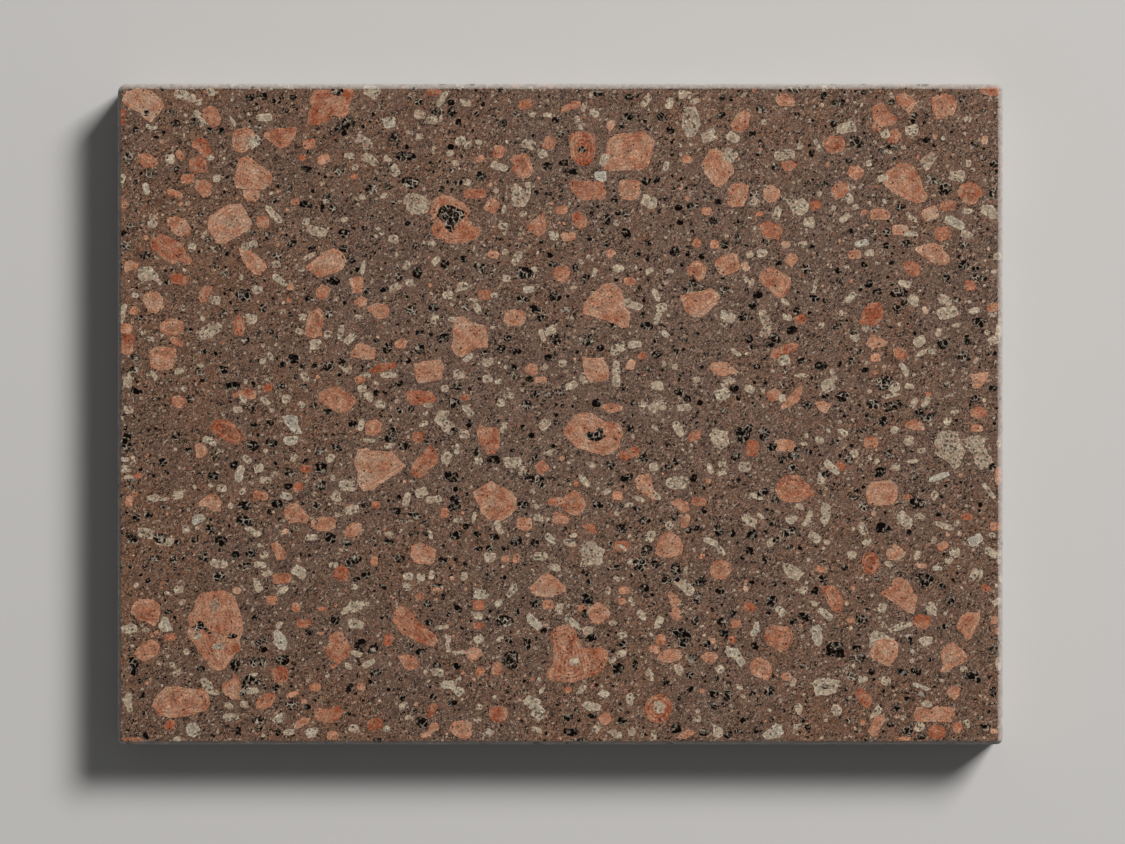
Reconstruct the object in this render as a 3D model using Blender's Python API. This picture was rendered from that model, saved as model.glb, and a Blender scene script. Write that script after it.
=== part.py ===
"""A sample slab of rhyolite porphyry: one sawn block with a honed face and worn arrises.

Metres, +Z up. The slab lies on its sawn back with the honed face up. The origin is the
middle of the back, +X runs along the length and +Y along the width.
"""

import math

import bmesh
import bpy
from mathutils import Vector

# Driving dimensions
SLAB_LENGTH = 0.201
SLAB_WIDTH = 0.150
SLAB_THICKNESS = 0.015

# How far the ground arris of the face runs in from each side. The hand grinder took more
# off the back and right sides than off the front and left ones.
ARRIS_RIGHT = 0.00125
ARRIS_BACK = 0.00125
ARRIS_LEFT = 0.00085
ARRIS_FRONT = 0.00085

# The arris is rounded over in facets: each row is the share of its run still to go and how
# far below the face it lies.
ARRIS_FACETS = (
    (1.00, 0.0000),
    (0.42, 0.0005),
    (0.12, 0.0010),
    (0.00, 0.0016),
)

# The back's edges are only broken with a stone
BACK_ARRIS = 0.0004

# Radius of each upright corner in plan: right-back, left-back, left-front, right-front
CORNER_RADII = (0.0015, 0.0021, 0.0016, 0.0014)
CORNER_STEPS = 6

# Small shells broken out of the arrises. Each row: the side, the place along it from the
# slab's middle, the shell's length along the side, its reach in from the side's wall and
# its reach down from the face.
FACE_CHIPS = (
    ("back", -0.0966, 0.0011, 0.0004, 0.0012),
    ("back", -0.0708, 0.0009, 0.0003, 0.0014),
    ("back", -0.0256, 0.0012, 0.0004, 0.0011),
    ("back", 0.0023, 0.0013, 0.0005, 0.0015),
    ("back", 0.0078, 0.0020, 0.0006, 0.0014),
    ("back", 0.0113, 0.0015, 0.0003, 0.0010),
    ("back", 0.0256, 0.0034, 0.0004, 0.0013),
    ("back", 0.0469, 0.0026, 0.0003, 0.0012),
    ("back", 0.0545, 0.0018, 0.0005, 0.0012),
    ("right", 0.0622, 0.0016, 0.0004, 0.0012),
    ("right", 0.0295, 0.0015, 0.0006, 0.0009),
    ("right", 0.0220, 0.0018, 0.0004, 0.0013),
    ("right", -0.0027, 0.0016, 0.0006, 0.0010),
    ("right", -0.0178, 0.0013, 0.0004, 0.0012),
    ("right", -0.0278, 0.0014, 0.0005, 0.0012),
    ("right", -0.0403, 0.0024, 0.0004, 0.0014),
    ("right", -0.0505, 0.0013, 0.0004, 0.0013),
    ("front", -0.0760, 0.0016, 0.0004, 0.0012),
    ("front", -0.0524, 0.0022, 0.0005, 0.0013),
    ("front", -0.0262, 0.0034, 0.0004, 0.0013),
    ("front", -0.0160, 0.0026, 0.0004, 0.0012),
    ("front", 0.0056, 0.0038, 0.0005, 0.0014),
    ("front", 0.0175, 0.0016, 0.0003, 0.0012),
    ("front", 0.0460, 0.0018, 0.0003, 0.0011),
    ("left", 0.0302, 0.0015, 0.0004, 0.0012),
    ("left", -0.0005, 0.0018, 0.0004, 0.0013),
    ("left", -0.0260, 0.0014, 0.0003, 0.0012),
    ("left", -0.0350, 0.0013, 0.0003, 0.0012),
)

# The same along the edges of the back, reaching up from it
BACK_CHIPS = (
    ("back", -0.0620, 0.0042, 0.0009, 0.0012),
    ("back", 0.0330, 0.0028, 0.0006, 0.0010),
    ("back", 0.0830, 0.0036, 0.0008, 0.0012),
    ("right", 0.0440, 0.0034, 0.0008, 0.0011),
    ("right", -0.0210, 0.0048, 0.0010, 0.0014),
    ("front", -0.0820, 0.0038, 0.0008, 0.0011),
    ("front", -0.0110, 0.0054, 0.0011, 0.0015),
    ("front", 0.0590, 0.0030, 0.0007, 0.0010),
    ("left", 0.0480, 0.0040, 0.0009, 0.0012),
    ("left", -0.0130, 0.0030, 0.0007, 0.0010),
    ("left", -0.0560, 0.0046, 0.0009, 0.0013),
)

# Shells off the upright corners of the face. Each row: the corner's signs in X and Y, the
# shell's middle as a distance in from each of the two sides, its half-length along X, its
# half-length along Y and its reach down.
CORNER_CHIPS = (
    (1, -1, 0.0011, 0.0001, 0.0015, 0.00075, 0.0022),
    (-1, -1, 0.0010, 0.0001, 0.0012, 0.00060, 0.0018),
)

# A shell is cut by an ellipsoid whose middle is this share of its half-size off the stone
SHELL_STANDOFF = 0.35
SHELL_SUBDIVISIONS = 3

STONE_COLOUR = (0.176, 0.106, 0.072, 1.0)
STONE_ROUGHNESS = 0.5


def clear_scene():
    """Removes the objects that the scene starts with."""
    for obj in list(bpy.data.objects):
        bpy.data.objects.remove(obj)


def stone_material():
    """The stone's mean colour, honed but not polished."""
    material = bpy.data.materials.new("honed_rhyolite")
    material.use_nodes = True
    shader = material.node_tree.nodes["Principled BSDF"]
    shader.inputs["Base Color"].default_value = STONE_COLOUR
    shader.inputs["Roughness"].default_value = STONE_ROUGHNESS
    shader.inputs["Metallic"].default_value = 0.0
    return material


def arris_run(normal):
    """How far the arris runs in where the wall faces this way, blended round a corner."""
    across = ARRIS_RIGHT if normal.x > 0 else ARRIS_LEFT
    along = ARRIS_BACK if normal.y > 0 else ARRIS_FRONT
    return normal.x**2 * across + normal.y**2 * along


def plan_outline():
    """The wall's outline in plan, as pairs of a point and its outward normal."""
    signs = ((1, 1), (-1, 1), (-1, -1), (1, -1))
    outline = []
    for quarter, (sign, radius) in enumerate(zip(signs, CORNER_RADII)):
        centre = Vector((sign[0] * (SLAB_LENGTH / 2 - radius), sign[1] * (SLAB_WIDTH / 2 - radius)))
        for step in range(CORNER_STEPS + 1):
            angle = math.radians(90) * (quarter + step / CORNER_STEPS)
            normal = Vector((math.cos(angle), math.sin(angle)))
            outline.append((centre + radius * normal, normal))
    return outline


def add_ring(bm, outline, inset, height):
    """Adds one closed ring of edges round the slab and returns its edges."""
    verts = []
    for point, normal in outline:
        place = point - inset(normal) * normal
        verts.append(bm.verts.new((place.x, place.y, height)))
    return [bm.edges.new((a, b)) for a, b in zip(verts, verts[1:] + verts[:1])]


def block_mesh():
    """The sawn block: rings from the back up to the honed face, bridged and capped."""
    bm = bmesh.new()
    outline = plan_outline()
    rings = [
        add_ring(bm, outline, lambda normal: BACK_ARRIS, 0.0),
        add_ring(bm, outline, lambda normal: 0.0, BACK_ARRIS),
    ]
    for share, drop in reversed(ARRIS_FACETS):
        height = SLAB_THICKNESS - drop
        rings.append(add_ring(bm, outline, lambda normal, s=share: s * arris_run(normal), height))
    for lower, upper in zip(rings, rings[1:]):
        bmesh.ops.bridge_loops(bm, edges=lower + upper)
    bmesh.ops.contextual_create(bm, geom=rings[0])
    bmesh.ops.contextual_create(bm, geom=rings[-1])
    bmesh.ops.recalc_face_normals(bm, faces=bm.faces)
    mesh = bpy.data.meshes.new("rhyolite_slab")
    bm.to_mesh(mesh)
    bm.free()
    return mesh


def side_frame(side):
    """A side's outward normal, the direction along it and its wall's distance from the middle."""
    return {
        "right": (Vector((1, 0, 0)), Vector((0, 1, 0)), SLAB_LENGTH / 2),
        "left": (Vector((-1, 0, 0)), Vector((0, 1, 0)), SLAB_LENGTH / 2),
        "back": (Vector((0, 1, 0)), Vector((1, 0, 0)), SLAB_WIDTH / 2),
        "front": (Vector((0, -1, 0)), Vector((1, 0, 0)), SLAB_WIDTH / 2),
    }[side]


def half_size(reach):
    """The ellipsoid's half-size that bites this far in when its middle stands off the stone."""
    return reach / (1 - SHELL_STANDOFF)


def add_shell(bm, centre, half_sizes):
    """Adds an ellipsoid that breaks one shell out of the stone."""
    made = bmesh.ops.create_icosphere(bm, subdivisions=SHELL_SUBDIVISIONS, radius=1.0)
    bmesh.ops.scale(bm, vec=half_sizes, verts=made["verts"])
    bmesh.ops.translate(bm, vec=centre, verts=made["verts"])


def add_side_shell(bm, chip, edge_height, towards):
    """Breaks a shell out of a side's edge; towards is -1 down from the face, 1 up from the back."""
    side, place, length, reach_in, reach_up = chip
    normal, along, wall = side_frame(side)
    half_in, half_up = half_size(reach_in), half_size(reach_up)
    centre = normal * (wall + SHELL_STANDOFF * half_in) + along * place
    centre.z = edge_height - towards * SHELL_STANDOFF * half_up
    half_sizes = Vector([abs(n) * half_in + abs(a) * length / 2 for n, a in zip(normal, along)])
    half_sizes.z = half_up
    add_shell(bm, centre, half_sizes)


def add_corner_shell(bm, chip):
    """Breaks a shell out of an upright corner at the face."""
    sign_x, sign_y, from_side_x, from_side_y, half_x, half_y, reach_down = chip
    half_down = half_size(reach_down)
    centre = Vector(
        (
            sign_x * (SLAB_LENGTH / 2 - from_side_x),
            sign_y * (SLAB_WIDTH / 2 - from_side_y),
            SLAB_THICKNESS + SHELL_STANDOFF * half_down,
        )
    )
    add_shell(bm, centre, Vector((half_x, half_y, half_down)))


def shells_object():
    """Every shell's ellipsoid, as one hidden cutter."""
    bm = bmesh.new()
    for chip in FACE_CHIPS:
        add_side_shell(bm, chip, SLAB_THICKNESS, -1)
    for chip in BACK_CHIPS:
        add_side_shell(bm, chip, 0.0, 1)
    for chip in CORNER_CHIPS:
        add_corner_shell(bm, chip)
    mesh = bpy.data.meshes.new("broken_shells")
    bm.to_mesh(mesh)
    bm.free()
    shells = bpy.data.objects.new("broken_shells", mesh)
    bpy.context.scene.collection.objects.link(shells)
    shells.display_type = "WIRE"
    shells.hide_render = True
    return shells


def build_slab():
    """The slab with its chips, shaded smooth over its rounded corners."""
    mesh = block_mesh()
    mesh.materials.append(stone_material())
    slab = bpy.data.objects.new("rhyolite_slab", mesh)
    bpy.context.scene.collection.objects.link(slab)
    mesh.shade_smooth()
    mesh.set_sharp_from_angle(angle=math.radians(25))
    chips = slab.modifiers.new("chips", "BOOLEAN")
    chips.operation = "DIFFERENCE"
    chips.solver = "EXACT"
    chips.object = shells_object()
    return slab


clear_scene()
build_slab()
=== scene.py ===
"""A sawn sample slab of rhyolite porphyry with one honed face, modelled crystal by crystal.

Lengths are in millimetres until a mesh is made, and meshes are in metres. The slab lies on
its sawn back with the honed face up, as in the CAD frame: +X along the length, +Y along the
width, and the origin in the middle of the back.

The stone's skin is drawn on one flat plan. Inside the face's edge the plan is the face
itself. Outside it the plan is the skin unfolded outwards: the ground arris, the side and the
broken lower edge. Crystals are outlines on this plan, so a crystal that crosses the edge runs
on down the side. A constrained triangulation cuts the plan along every outline, and the
triangles are then folded back round the slab.
"""

from __future__ import annotations

import logging
import math
from collections.abc import Callable
from dataclasses import dataclass, field, replace
from enum import Enum, IntEnum

import bpy
import numpy as np
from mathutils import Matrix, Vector
from mathutils.geometry import delaunay_2d_cdt


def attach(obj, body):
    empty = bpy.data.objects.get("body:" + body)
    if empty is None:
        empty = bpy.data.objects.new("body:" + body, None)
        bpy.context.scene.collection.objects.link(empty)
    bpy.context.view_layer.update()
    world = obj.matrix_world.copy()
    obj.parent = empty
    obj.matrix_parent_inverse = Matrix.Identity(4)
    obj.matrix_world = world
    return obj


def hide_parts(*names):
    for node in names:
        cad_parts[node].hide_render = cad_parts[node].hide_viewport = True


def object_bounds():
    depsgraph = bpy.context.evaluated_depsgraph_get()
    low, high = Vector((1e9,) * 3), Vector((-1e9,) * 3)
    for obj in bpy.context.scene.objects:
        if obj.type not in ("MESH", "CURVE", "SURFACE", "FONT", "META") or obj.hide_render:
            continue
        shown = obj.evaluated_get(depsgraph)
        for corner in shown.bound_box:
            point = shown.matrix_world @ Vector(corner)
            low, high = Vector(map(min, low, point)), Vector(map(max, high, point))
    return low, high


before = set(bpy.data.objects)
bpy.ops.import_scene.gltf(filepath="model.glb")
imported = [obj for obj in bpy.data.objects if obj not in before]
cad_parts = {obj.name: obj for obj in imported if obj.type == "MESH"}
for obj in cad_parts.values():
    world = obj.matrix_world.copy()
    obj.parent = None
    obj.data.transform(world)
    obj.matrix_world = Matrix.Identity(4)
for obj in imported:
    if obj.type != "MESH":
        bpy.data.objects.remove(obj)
CAD_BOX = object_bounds()

STONE_SEED = 41

# Metres in a millimetre, and the millimetres within which two points are taken for one
METRES = 0.001
TOUCHING = 1e-3

# The slab's length, width and thickness in the frame, in millimetres
CAD_SIZES = [round((high - low) / METRES, 3) for low, high in zip(*CAD_BOX)]

# Units of the tables below: millimetres for lengths, degrees for turns
READING_UNIT = 0.1
TURN_UNIT = 10.0

Colour = tuple[float, float, float]
Socket = bpy.types.NodeSocket
Input = Socket | float | tuple
Sizes = tuple[float, float, float, float]

# The crystals below were read off from the honed face, in tenths of a millimetre from
# its middle. A line of outlines is a tone, for feldspar also a zoning, and then the corners. A
# line of grains is a tone, and then for each grain its middle's x and y, its length and width,
# and the turn of its length in tens of degrees. An indented line carries on the one above. The
# tone of alkali feldspar runs from pale pink at 0 to orange red at 1, that of plagioclase from
# brown and mottled at 0 to bluish white at 1, and that of quartz from clear black at 0 to grey
# and speckled with mica at 1.
FELDSPAR_OUTLINES = """
.3 .2: -995 712 -985 732 -960 739 -935 736 -915 724 -899 701 -912 680 -930 663 -942 669 -954 683 -988 702
.55 .2: -812 692 -795 700 -780 692 -770 672 -775 655 -787 651 -805 665 -815 680
.45 .6: -742 642 -715 651 -695 642 -692 625 -705 602 -722 592 -742 600 -745 625
.65 .3: -672 638 -650 648 -599 651 -601 632 -618 608 -635 601 -672 630
.7 .2: -568 715 -555 736 -474 739 -467 725 -478 705 -482 680 -495 672 -515 679 -530 664 -545 656 -573 657
 -572 680 -566 695
.75 .3: -835 618 -820 628 -802 624 -788 590 -798 580 -810 582 -822 600 -835 605
.7 .5: -959 590 -940 591 -918 582 -912 570 -925 558 -942 558 -956 570
.5 .4: -828 530 -805 532 -790 520 -792 500 -810 490 -830 515
.42 .2: -728 580 -710 585 -658 548 -651 535 -659 518 -675 510 -735 512 -741 530
.4 .2: -720 509 -695 510 -682 505 -681 492 -692 482 -710 482 -719 495
.28 .5: -798 448 -755 475 -725 478 -700 435 -705 420 -758 388 -780 388 -800 422
.45 .2: -892 445 -870 449 -852 442 -838 420 -840 408 -858 400 -872 408 -892 428
.55 .5: -115 578 -100 588 -82 592 -70 582 -62 555 -68 540 -85 532 -112 555 -104 566
.6 .5: -295 455 -290 485 -265 498 -242 492 -218 478 -205 465 -210 448 -200 430 -182 418 -185 402 -210 390
 -250 386 -280 402 -292 422 -285 440
.62 .2: -40 458 -32 430 -32 415 -50 402 -78 422 -68 435
.6 .2: 0 686 5 696 30 711 45 709 48 699 25 690
.72 .8: 20 630 32 641 60 641 78 632 80 600 75 575 60 561 40 566 25 582
.48 .4: 108 622 125 635 192 642 215 618 202 568 185 555 108 552 98 558
.6 .3: 20 530 98 528 104 510 102 488 48 485 24 510
.5 .4: 135 530 160 532 180 528 181 495 165 485 140 488 132 502
.6 .3: 25 455 45 458 60 442 59 425 45 419 30 430
.4 .2: 320 565 338 600 355 604 372 590 392 562 394 548 365 515 352 516 328 545
.5 .2: 388 522 412 525 429 518 426 495 415 472 390 470 379 475 382 505
.55 .3: 388 660 400 680 420 691 430 680 428 652 408 639 390 645
.5 .3: 460 512 478 521 498 510 500 495 488 482 472 480 461 490
.65 .3: 452 430 468 438 495 430 506 415 495 396 472 400 455 412
.45 .3: 490 726 510 728 530 715 536 700 498 700 488 712
.65 .3: 500 572 525 575 538 566 525 552 508 551
.7 .4: 598 620 612 632 635 632 646 618 644 602 631 592 612 591 600 602
.68 .2: 708 695 725 708 738 700 750 682 765 672 760 658 735 652 715 638 706 648 712 665
.6 .2: 742 640 765 648 774 635 765 618 750 611 742 622
.5 .5: 760 722 780 729 798 720 808 705 790 682 765 708
.55 .4: 840 712 855 724 875 728 892 719 900 700 892 680 862 669 850 672
.5 .3: 772 572 802 562 815 540 822 515 834 495 825 481 805 479 755 502 732 525 728 540
.5 .4: 649 545 658 562 675 565 690 552 684 540 670 529
.6 .3: 615 512 630 528 650 525 655 510 642 492 625 485 616 498
.68 .3: 900 505 910 520 932 528 952 515 959 502 945 482 930 472 912 485
.68 .2: -928 398 -905 410 -855 385 -850 365 -835 349 -840 338 -862 347 -880 340 -898 350 -930 378
.5 .2: -990 342 -975 350 -958 342 -959 330 -988 322
.4 .3: -945 270 -930 279 -910 275 -901 260 -900 242 -918 228 -932 230 -949 260
.55 .7: -908 205 -898 214 -878 217 -855 208 -854 190 -870 179 -895 180 -909 190
.55 .2: -885 174 -868 175 -856 162 -858 152 -884 162
.35 .5: -919 152 -900 154 -872 148 -872 128 -880 102 -910 100 -928 105 -932 132 -930 145
.6 .2: -816 282 -805 292 -788 289 -802 258 -815 252 -821 265
.45 .3: -730 378 -705 372 -670 345 -665 332 -682 315 -695 318 -710 332 -722 352
.75 .4: -732 225 -718 218 -716 192 -725 178 -738 180 -742 192 -740 212
.4 .3: -578 335 -535 368 -515 376 -495 370 -485 348 -492 330 -510 320 -550 310
.45 .4: -555 282 -540 295 -525 288 -522 272 -538 260 -552 265
.5 .5: -570 230 -548 241 -536 230 -542 178 -560 172 -575 178 -579 198
.65 .3: -882 38 -868 44 -848 32 -850 18 -868 14 -881 22
.6 .2: -745 45 -712 59 -692 52 -690 35 -710 32 -728 40 -742 35
.6 .3: -550 48 -528 58 -508 62 -470 42 -462 28 -480 8 -500 0 -545 28
.45 .2: -480 305 -462 314 -448 310 -446 285 -452 275 -470 275
.4 .3: -468 258 -452 268 -438 260 -440 246 -458 241 -466 248
.45 .5: -436 245 -418 252 -392 248 -388 235 -392 220 -415 215 -438 238
.45 .2: -478 132 -462 158 -448 162 -418 145 -422 125 -440 122
.45 .3: -331 112 -312 119 -272 125 -265 108 -270 78 -322 70 -332 92
.78 .3: -348 52 -325 55 -290 50 -281 32 -295 20 -338 22 -348 32
.42 .3: -238 220 -220 222 -200 208 -170 200 -165 178 -165 152 -190 150 -225 128 -240 138 -248 150 -242 178
 -245 198
.85 .2: -435 100 -410 115 -372 118 -375 105 -425 90
.45 .5: -125 235 -102 238 -80 232 -79 212 -88 200 -115 199 -129 210
.6 .3: -80 105 -68 116 -52 110 -52 92 -65 88 -79 95
.65 .3: -18 320 -8 334 12 338 22 330 20 310 10 300 -5 302 -15 310
.48 .3: 54 250 70 270 100 295 118 298 138 285 145 262 142 248 159 230 155 198 140 195 108 212 50 228
.5 .6: 288 332 300 345 318 348 331 335 329 312 315 300 302 305 289 318
.42 .5: 272 270 345 285 361 270 358 252 322 220 300 222 282 238
.42 .3: 50 128 100 128 109 105 111 78 68 72 54 92
.6 .7: 452 312 462 330 482 333 515 315 524 302 520 282 508 265 490 264 478 280 452 302
.45 .2: 338 105 345 118 378 118 406 95 368 86 350 92
.6 .4: 470 50 488 60 500 52 495 32 480 28 470 38
.75 .2: 500 152 520 162 542 159 535 145 515 135 500 138
.5 .3: 95 20 112 25 142 18 140 8 115 2 100 8
.95 .1: 685 230 698 250 725 254 734 232 730 215 715 202 678 205
.85 .2: 775 340 788 348 805 346 818 330 812 314 798 312 785 322
.4 .5: 805 372 810 380 845 390 865 382 870 370 882 360 884 348 872 338 850 340
.45 .3: 698 170 708 180 744 165 738 155 708 148 695 158
.6 .7: 755 148 770 152 785 145 788 130 772 120 758 132
.35 .3: 928 90 972 96 970 78 950 58 935 60 934 78
.65 .5: 930 8 945 18 965 10 968 -5 950 -12 932 -5
.55 .2: 500 18 548 70 550 48 540 28 505 10
.35 .3: 578 28 600 29 615 20 605 2 588 8
.85 1: -795 -30 -785 -15 -765 -11 -742 -20 -725 -38 -719 -58 -732 -69 -755 -64 -791 -40
.5 .2: -829 -70 -818 -65 -802 -75 -800 -90 -815 -99 -826 -98
.45 .2: -822 -202 -795 -180 -778 -185 -769 -200 -771 -220 -788 -222 -800 -210 -820 -209
.45 .2: -625 -215 -615 -205 -598 -201 -570 -232 -575 -248 -592 -245 -615 -248 -626 -232
.5 .2: -565 -242 -545 -234 -522 -232 -509 -242 -510 -258 -528 -265 -550 -266 -565 -255
.6 .3: -658 -295 -642 -288 -622 -315 -628 -330 -642 -331
.42 .5: -445 -28 -435 -15 -418 -11 -406 -22 -408 -40 -422 -49 -440 -48
.33 .4: -468 -108 -458 -80 -440 -78 -422 -84 -382 -85 -354 -115 -360 -128 -428 -172 -448 -175 -460 -155
 -460 -132
.72 .3: -338 -120 -328 -102 -310 -90 -298 -70 -285 -78 -276 -98 -280 -112 -298 -125 -310 -142 -328 -145
 -338 -132
.65 .3: -190 -42 -182 -22 -170 -30 -140 -31 -136 -50 -139 -75 -150 -91 -165 -90 -185 -62
.48 .3: -198 -178 -158 -152 -110 -175 -99 -192 -100 -215 -115 -232 -138 -245 -160 -240 -178 -225
.55 .4: -492 -272 -485 -255 -468 -245 -450 -250 -451 -265 -468 -280 -482 -278
.45 .3: -340 -320 -338 -300 -318 -290 -282 -308 -285 -330 -295 -341 -318 -340 -332 -335
.88 .2: -510 -348 -492 -342 -478 -358 -485 -378 -500 -380 -515 -368
.45 .3: 6 -38 30 -2 50 4 72 2 102 -18 125 -18 140 -30 141 -48 132 -75 115 -90 98 -94 35 -75 18 -58
.95 .1: 130 -95 138 -82 152 -82 168 -72 180 -80 178 -95 145 -105 134 -102
.35 .2: 168 -150 178 -138 200 -135 208 -148 210 -170 226 -185 222 -195 205 -191 175 -170
.5 .3: 2 -192 32 -172 48 -182 58 -202 52 -220 35 -231 18 -225 2 -208
.75 .2: 48 -255 60 -248 78 -252 82 -270 72 -272
.5 .2: 250 -200 268 -192 288 -200 294 -218 280 -225
.48 .2: 215 -315 222 -290 232 -272 250 -266 270 -280 279 -298 275 -318 250 -325 228 -325
.6 .5: 340 -350 348 -335 365 -329 385 -340 389 -355 375 -375 355 -375 342 -365
.4 .3: 480 -70 490 -58 510 -56 525 -60 538 -70 530 -82 510 -85 490 -82
.58 .4: 488 -170 492 -155 510 -140 538 -138 582 -180 542 -200 515 -200 495 -190
.55 .3: 785 -20 800 -11 820 -20 828 -35 812 -38 782 -29
.42 .2: 694 -170 705 -154 750 -150 765 -162 766 -185 755 -205 720 -208 700 -205 694 -190
.3 .2: 740 -310 758 -294 775 -305 782 -320 772 -332 750 -332 740 -322
.85 .9: 684 -340 688 -320 702 -312 720 -320 726 -340 718 -358 702 -365 688 -356
.5 .2: -976 -450 -970 -432 -958 -420 -925 -421 -908 -432 -912 -470 -922 -482 -940 -470 -960 -465
.5 .2: -967 -543 -960 -530 -930 -510 -915 -516 -908 -528 -915 -545 -942 -562 -958 -555
.45 .3: -815 -405 -765 -400 -745 -408 -735 -425 -721 -468 -720 -490 -728 -512 -726 -528 -762 -578 -780
 -582 -795 -575 -845 -500 -842 -478 -846 -460 -832 -442 -826 -422
.5 .5: -926 -660 -922 -648 -895 -618 -870 -618 -830 -625 -810 -622 -799 -632 -795 -658 -805 -672 -855 -688
 -895 -688 -912 -682
.48 .3: -768 -628 -765 -612 -745 -602 -742 -588 -728 -598 -725 -632 -728 -648 -740 -648 -760 -638
.7 .2: -692 -658 -685 -645 -670 -635 -648 -632 -645 -642 -658 -665 -675 -672 -690 -668
.75 .2: -658 -578 -635 -572 -620 -575 -616 -588 -620 -605 -632 -612 -648 -608
.85 .3: -560 -678 -550 -668 -525 -668 -505 -662 -490 -676 -500 -690 -528 -702 -545 -698 -558 -688
.4 .2: -605 -712 -598 -698 -585 -688 -568 -690 -568 -698 -595 -715
.58 .3: -535 -532 -523 -518 -523 -503 -510 -493 -495 -495 -474 -532 -480 -548 -505 -568 -518 -560
.62 .1: -998 -736 -950 -734 -943 -744 -948 -756 -986 -756
.5 .1: -530 -728 -522 -718 -510 -720 -502 -728 -508 -740 -528 -738
.65 .3: -378 -452 -372 -440 -360 -434 -335 -452 -328 -468 -282 -502 -279 -515 -288 -528 -305 -525 -360
 -498 -379 -470
.6 .2: -368 -550 -350 -545 -332 -550 -321 -565 -328 -578 -342 -582 -355 -575
.3 .6: -220 -540 -198 -528 -180 -534 -175 -545 -200 -564
.7 .3: -162 -682 -160 -668 -140 -662 -122 -668 -118 -680 -125 -695 -142 -700 -155 -695
.4 .4: -250 -708 -240 -697 -222 -695 -202 -700 -199 -718 -205 -735 -218 -736 -238 -730 -248 -722
.5 .2: -295 -705 -285 -698 -274 -705 -276 -718 -290 -722 -298 -735 -315 -734 -318 -728 -302 -720
.4 .3: -70 -395 -45 -368 -28 -359 12 -390 14 -402 -20 -416 -50 -413 -62 -408
.58 .8: -22 -502 -15 -488 15 -475 30 -485 48 -528 66 -596 25 -610 -18 -605 -30 -598 -30 -582 -18 -570 -15
 -542
.68 .6: 48 -529 55 -532 90 -528 108 -540 108 -558 98 -578 82 -592 66 -596
.42 .2: 60 -448 70 -435 85 -428 102 -435 114 -450 112 -458 88 -478 72 -472
.5 .2: 245 -408 252 -404 265 -412 272 -425 268 -434 255 -436 248 -428
.42 .2: 249 -448 260 -435 272 -445 279 -458 268 -468 255 -465
.4 .2: 218 -555 228 -540 250 -532 268 -535 279 -548 270 -558 250 -564 230 -562
.4 .2: 319 -550 332 -540 348 -540 359 -550 352 -562 338 -568 325 -560
.48 .2: 430 -570 438 -558 450 -552 468 -558 480 -572 479 -590 470 -605 438 -592 431 -582
.6 .7: 461 -502 468 -488 482 -480 515 -482 525 -492 528 -510 525 -522 510 -538 499 -540 468 -520
.8 .8: 188 -668 195 -652 210 -638 232 -636 250 -650 258 -665 240 -698 222 -701 205 -698 192 -682
.45 .2: 265 -735 275 -722 292 -715 308 -722 285 -738
.7 .7: 593 -392 618 -388 635 -405 642 -420 640 -440 632 -452 618 -445 605 -425
.52 .4: 726 -406 745 -395 758 -376 770 -369 784 -376 811 -415 802 -454 790 -450
.72 .2: 802 -460 812 -454 832 -456 842 -465 840 -480 828 -488 810 -485 802 -475
.45 .2: 900 -480 908 -460 922 -450 952 -450 952 -468 931 -510 920 -512 915 -498 902 -490
.45 .4: 861 -540 889 -516 919 -540 925 -555 910 -568 892 -575 880 -586 862 -585 868 -570
.38 .2: 701 -542 715 -515 735 -509 758 -512 768 -522 765 -548 748 -572 725 -565 710 -555
.52 .3: 802 -688 808 -665 822 -665 840 -672 855 -660 892 -668 895 -680 888 -698 810 -698
.88 .3: 832 -720 840 -710 852 -705 870 -710 876 -722 868 -736 850 -738 835 -732
.62 .2: 890 -710 898 -698 910 -700 912 -712 905 -725 895 -720
.38 .2: 878 -632 882 -622 898 -615 908 -625 906 -638 895 -650 882 -640
.8 .2: 668 -632 682 -621 705 -640 708 -655 698 -668 685 -660
.52 .2: 698 -720 718 -682 732 -682 738 -692 718 -730 708 -732
"""

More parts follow.
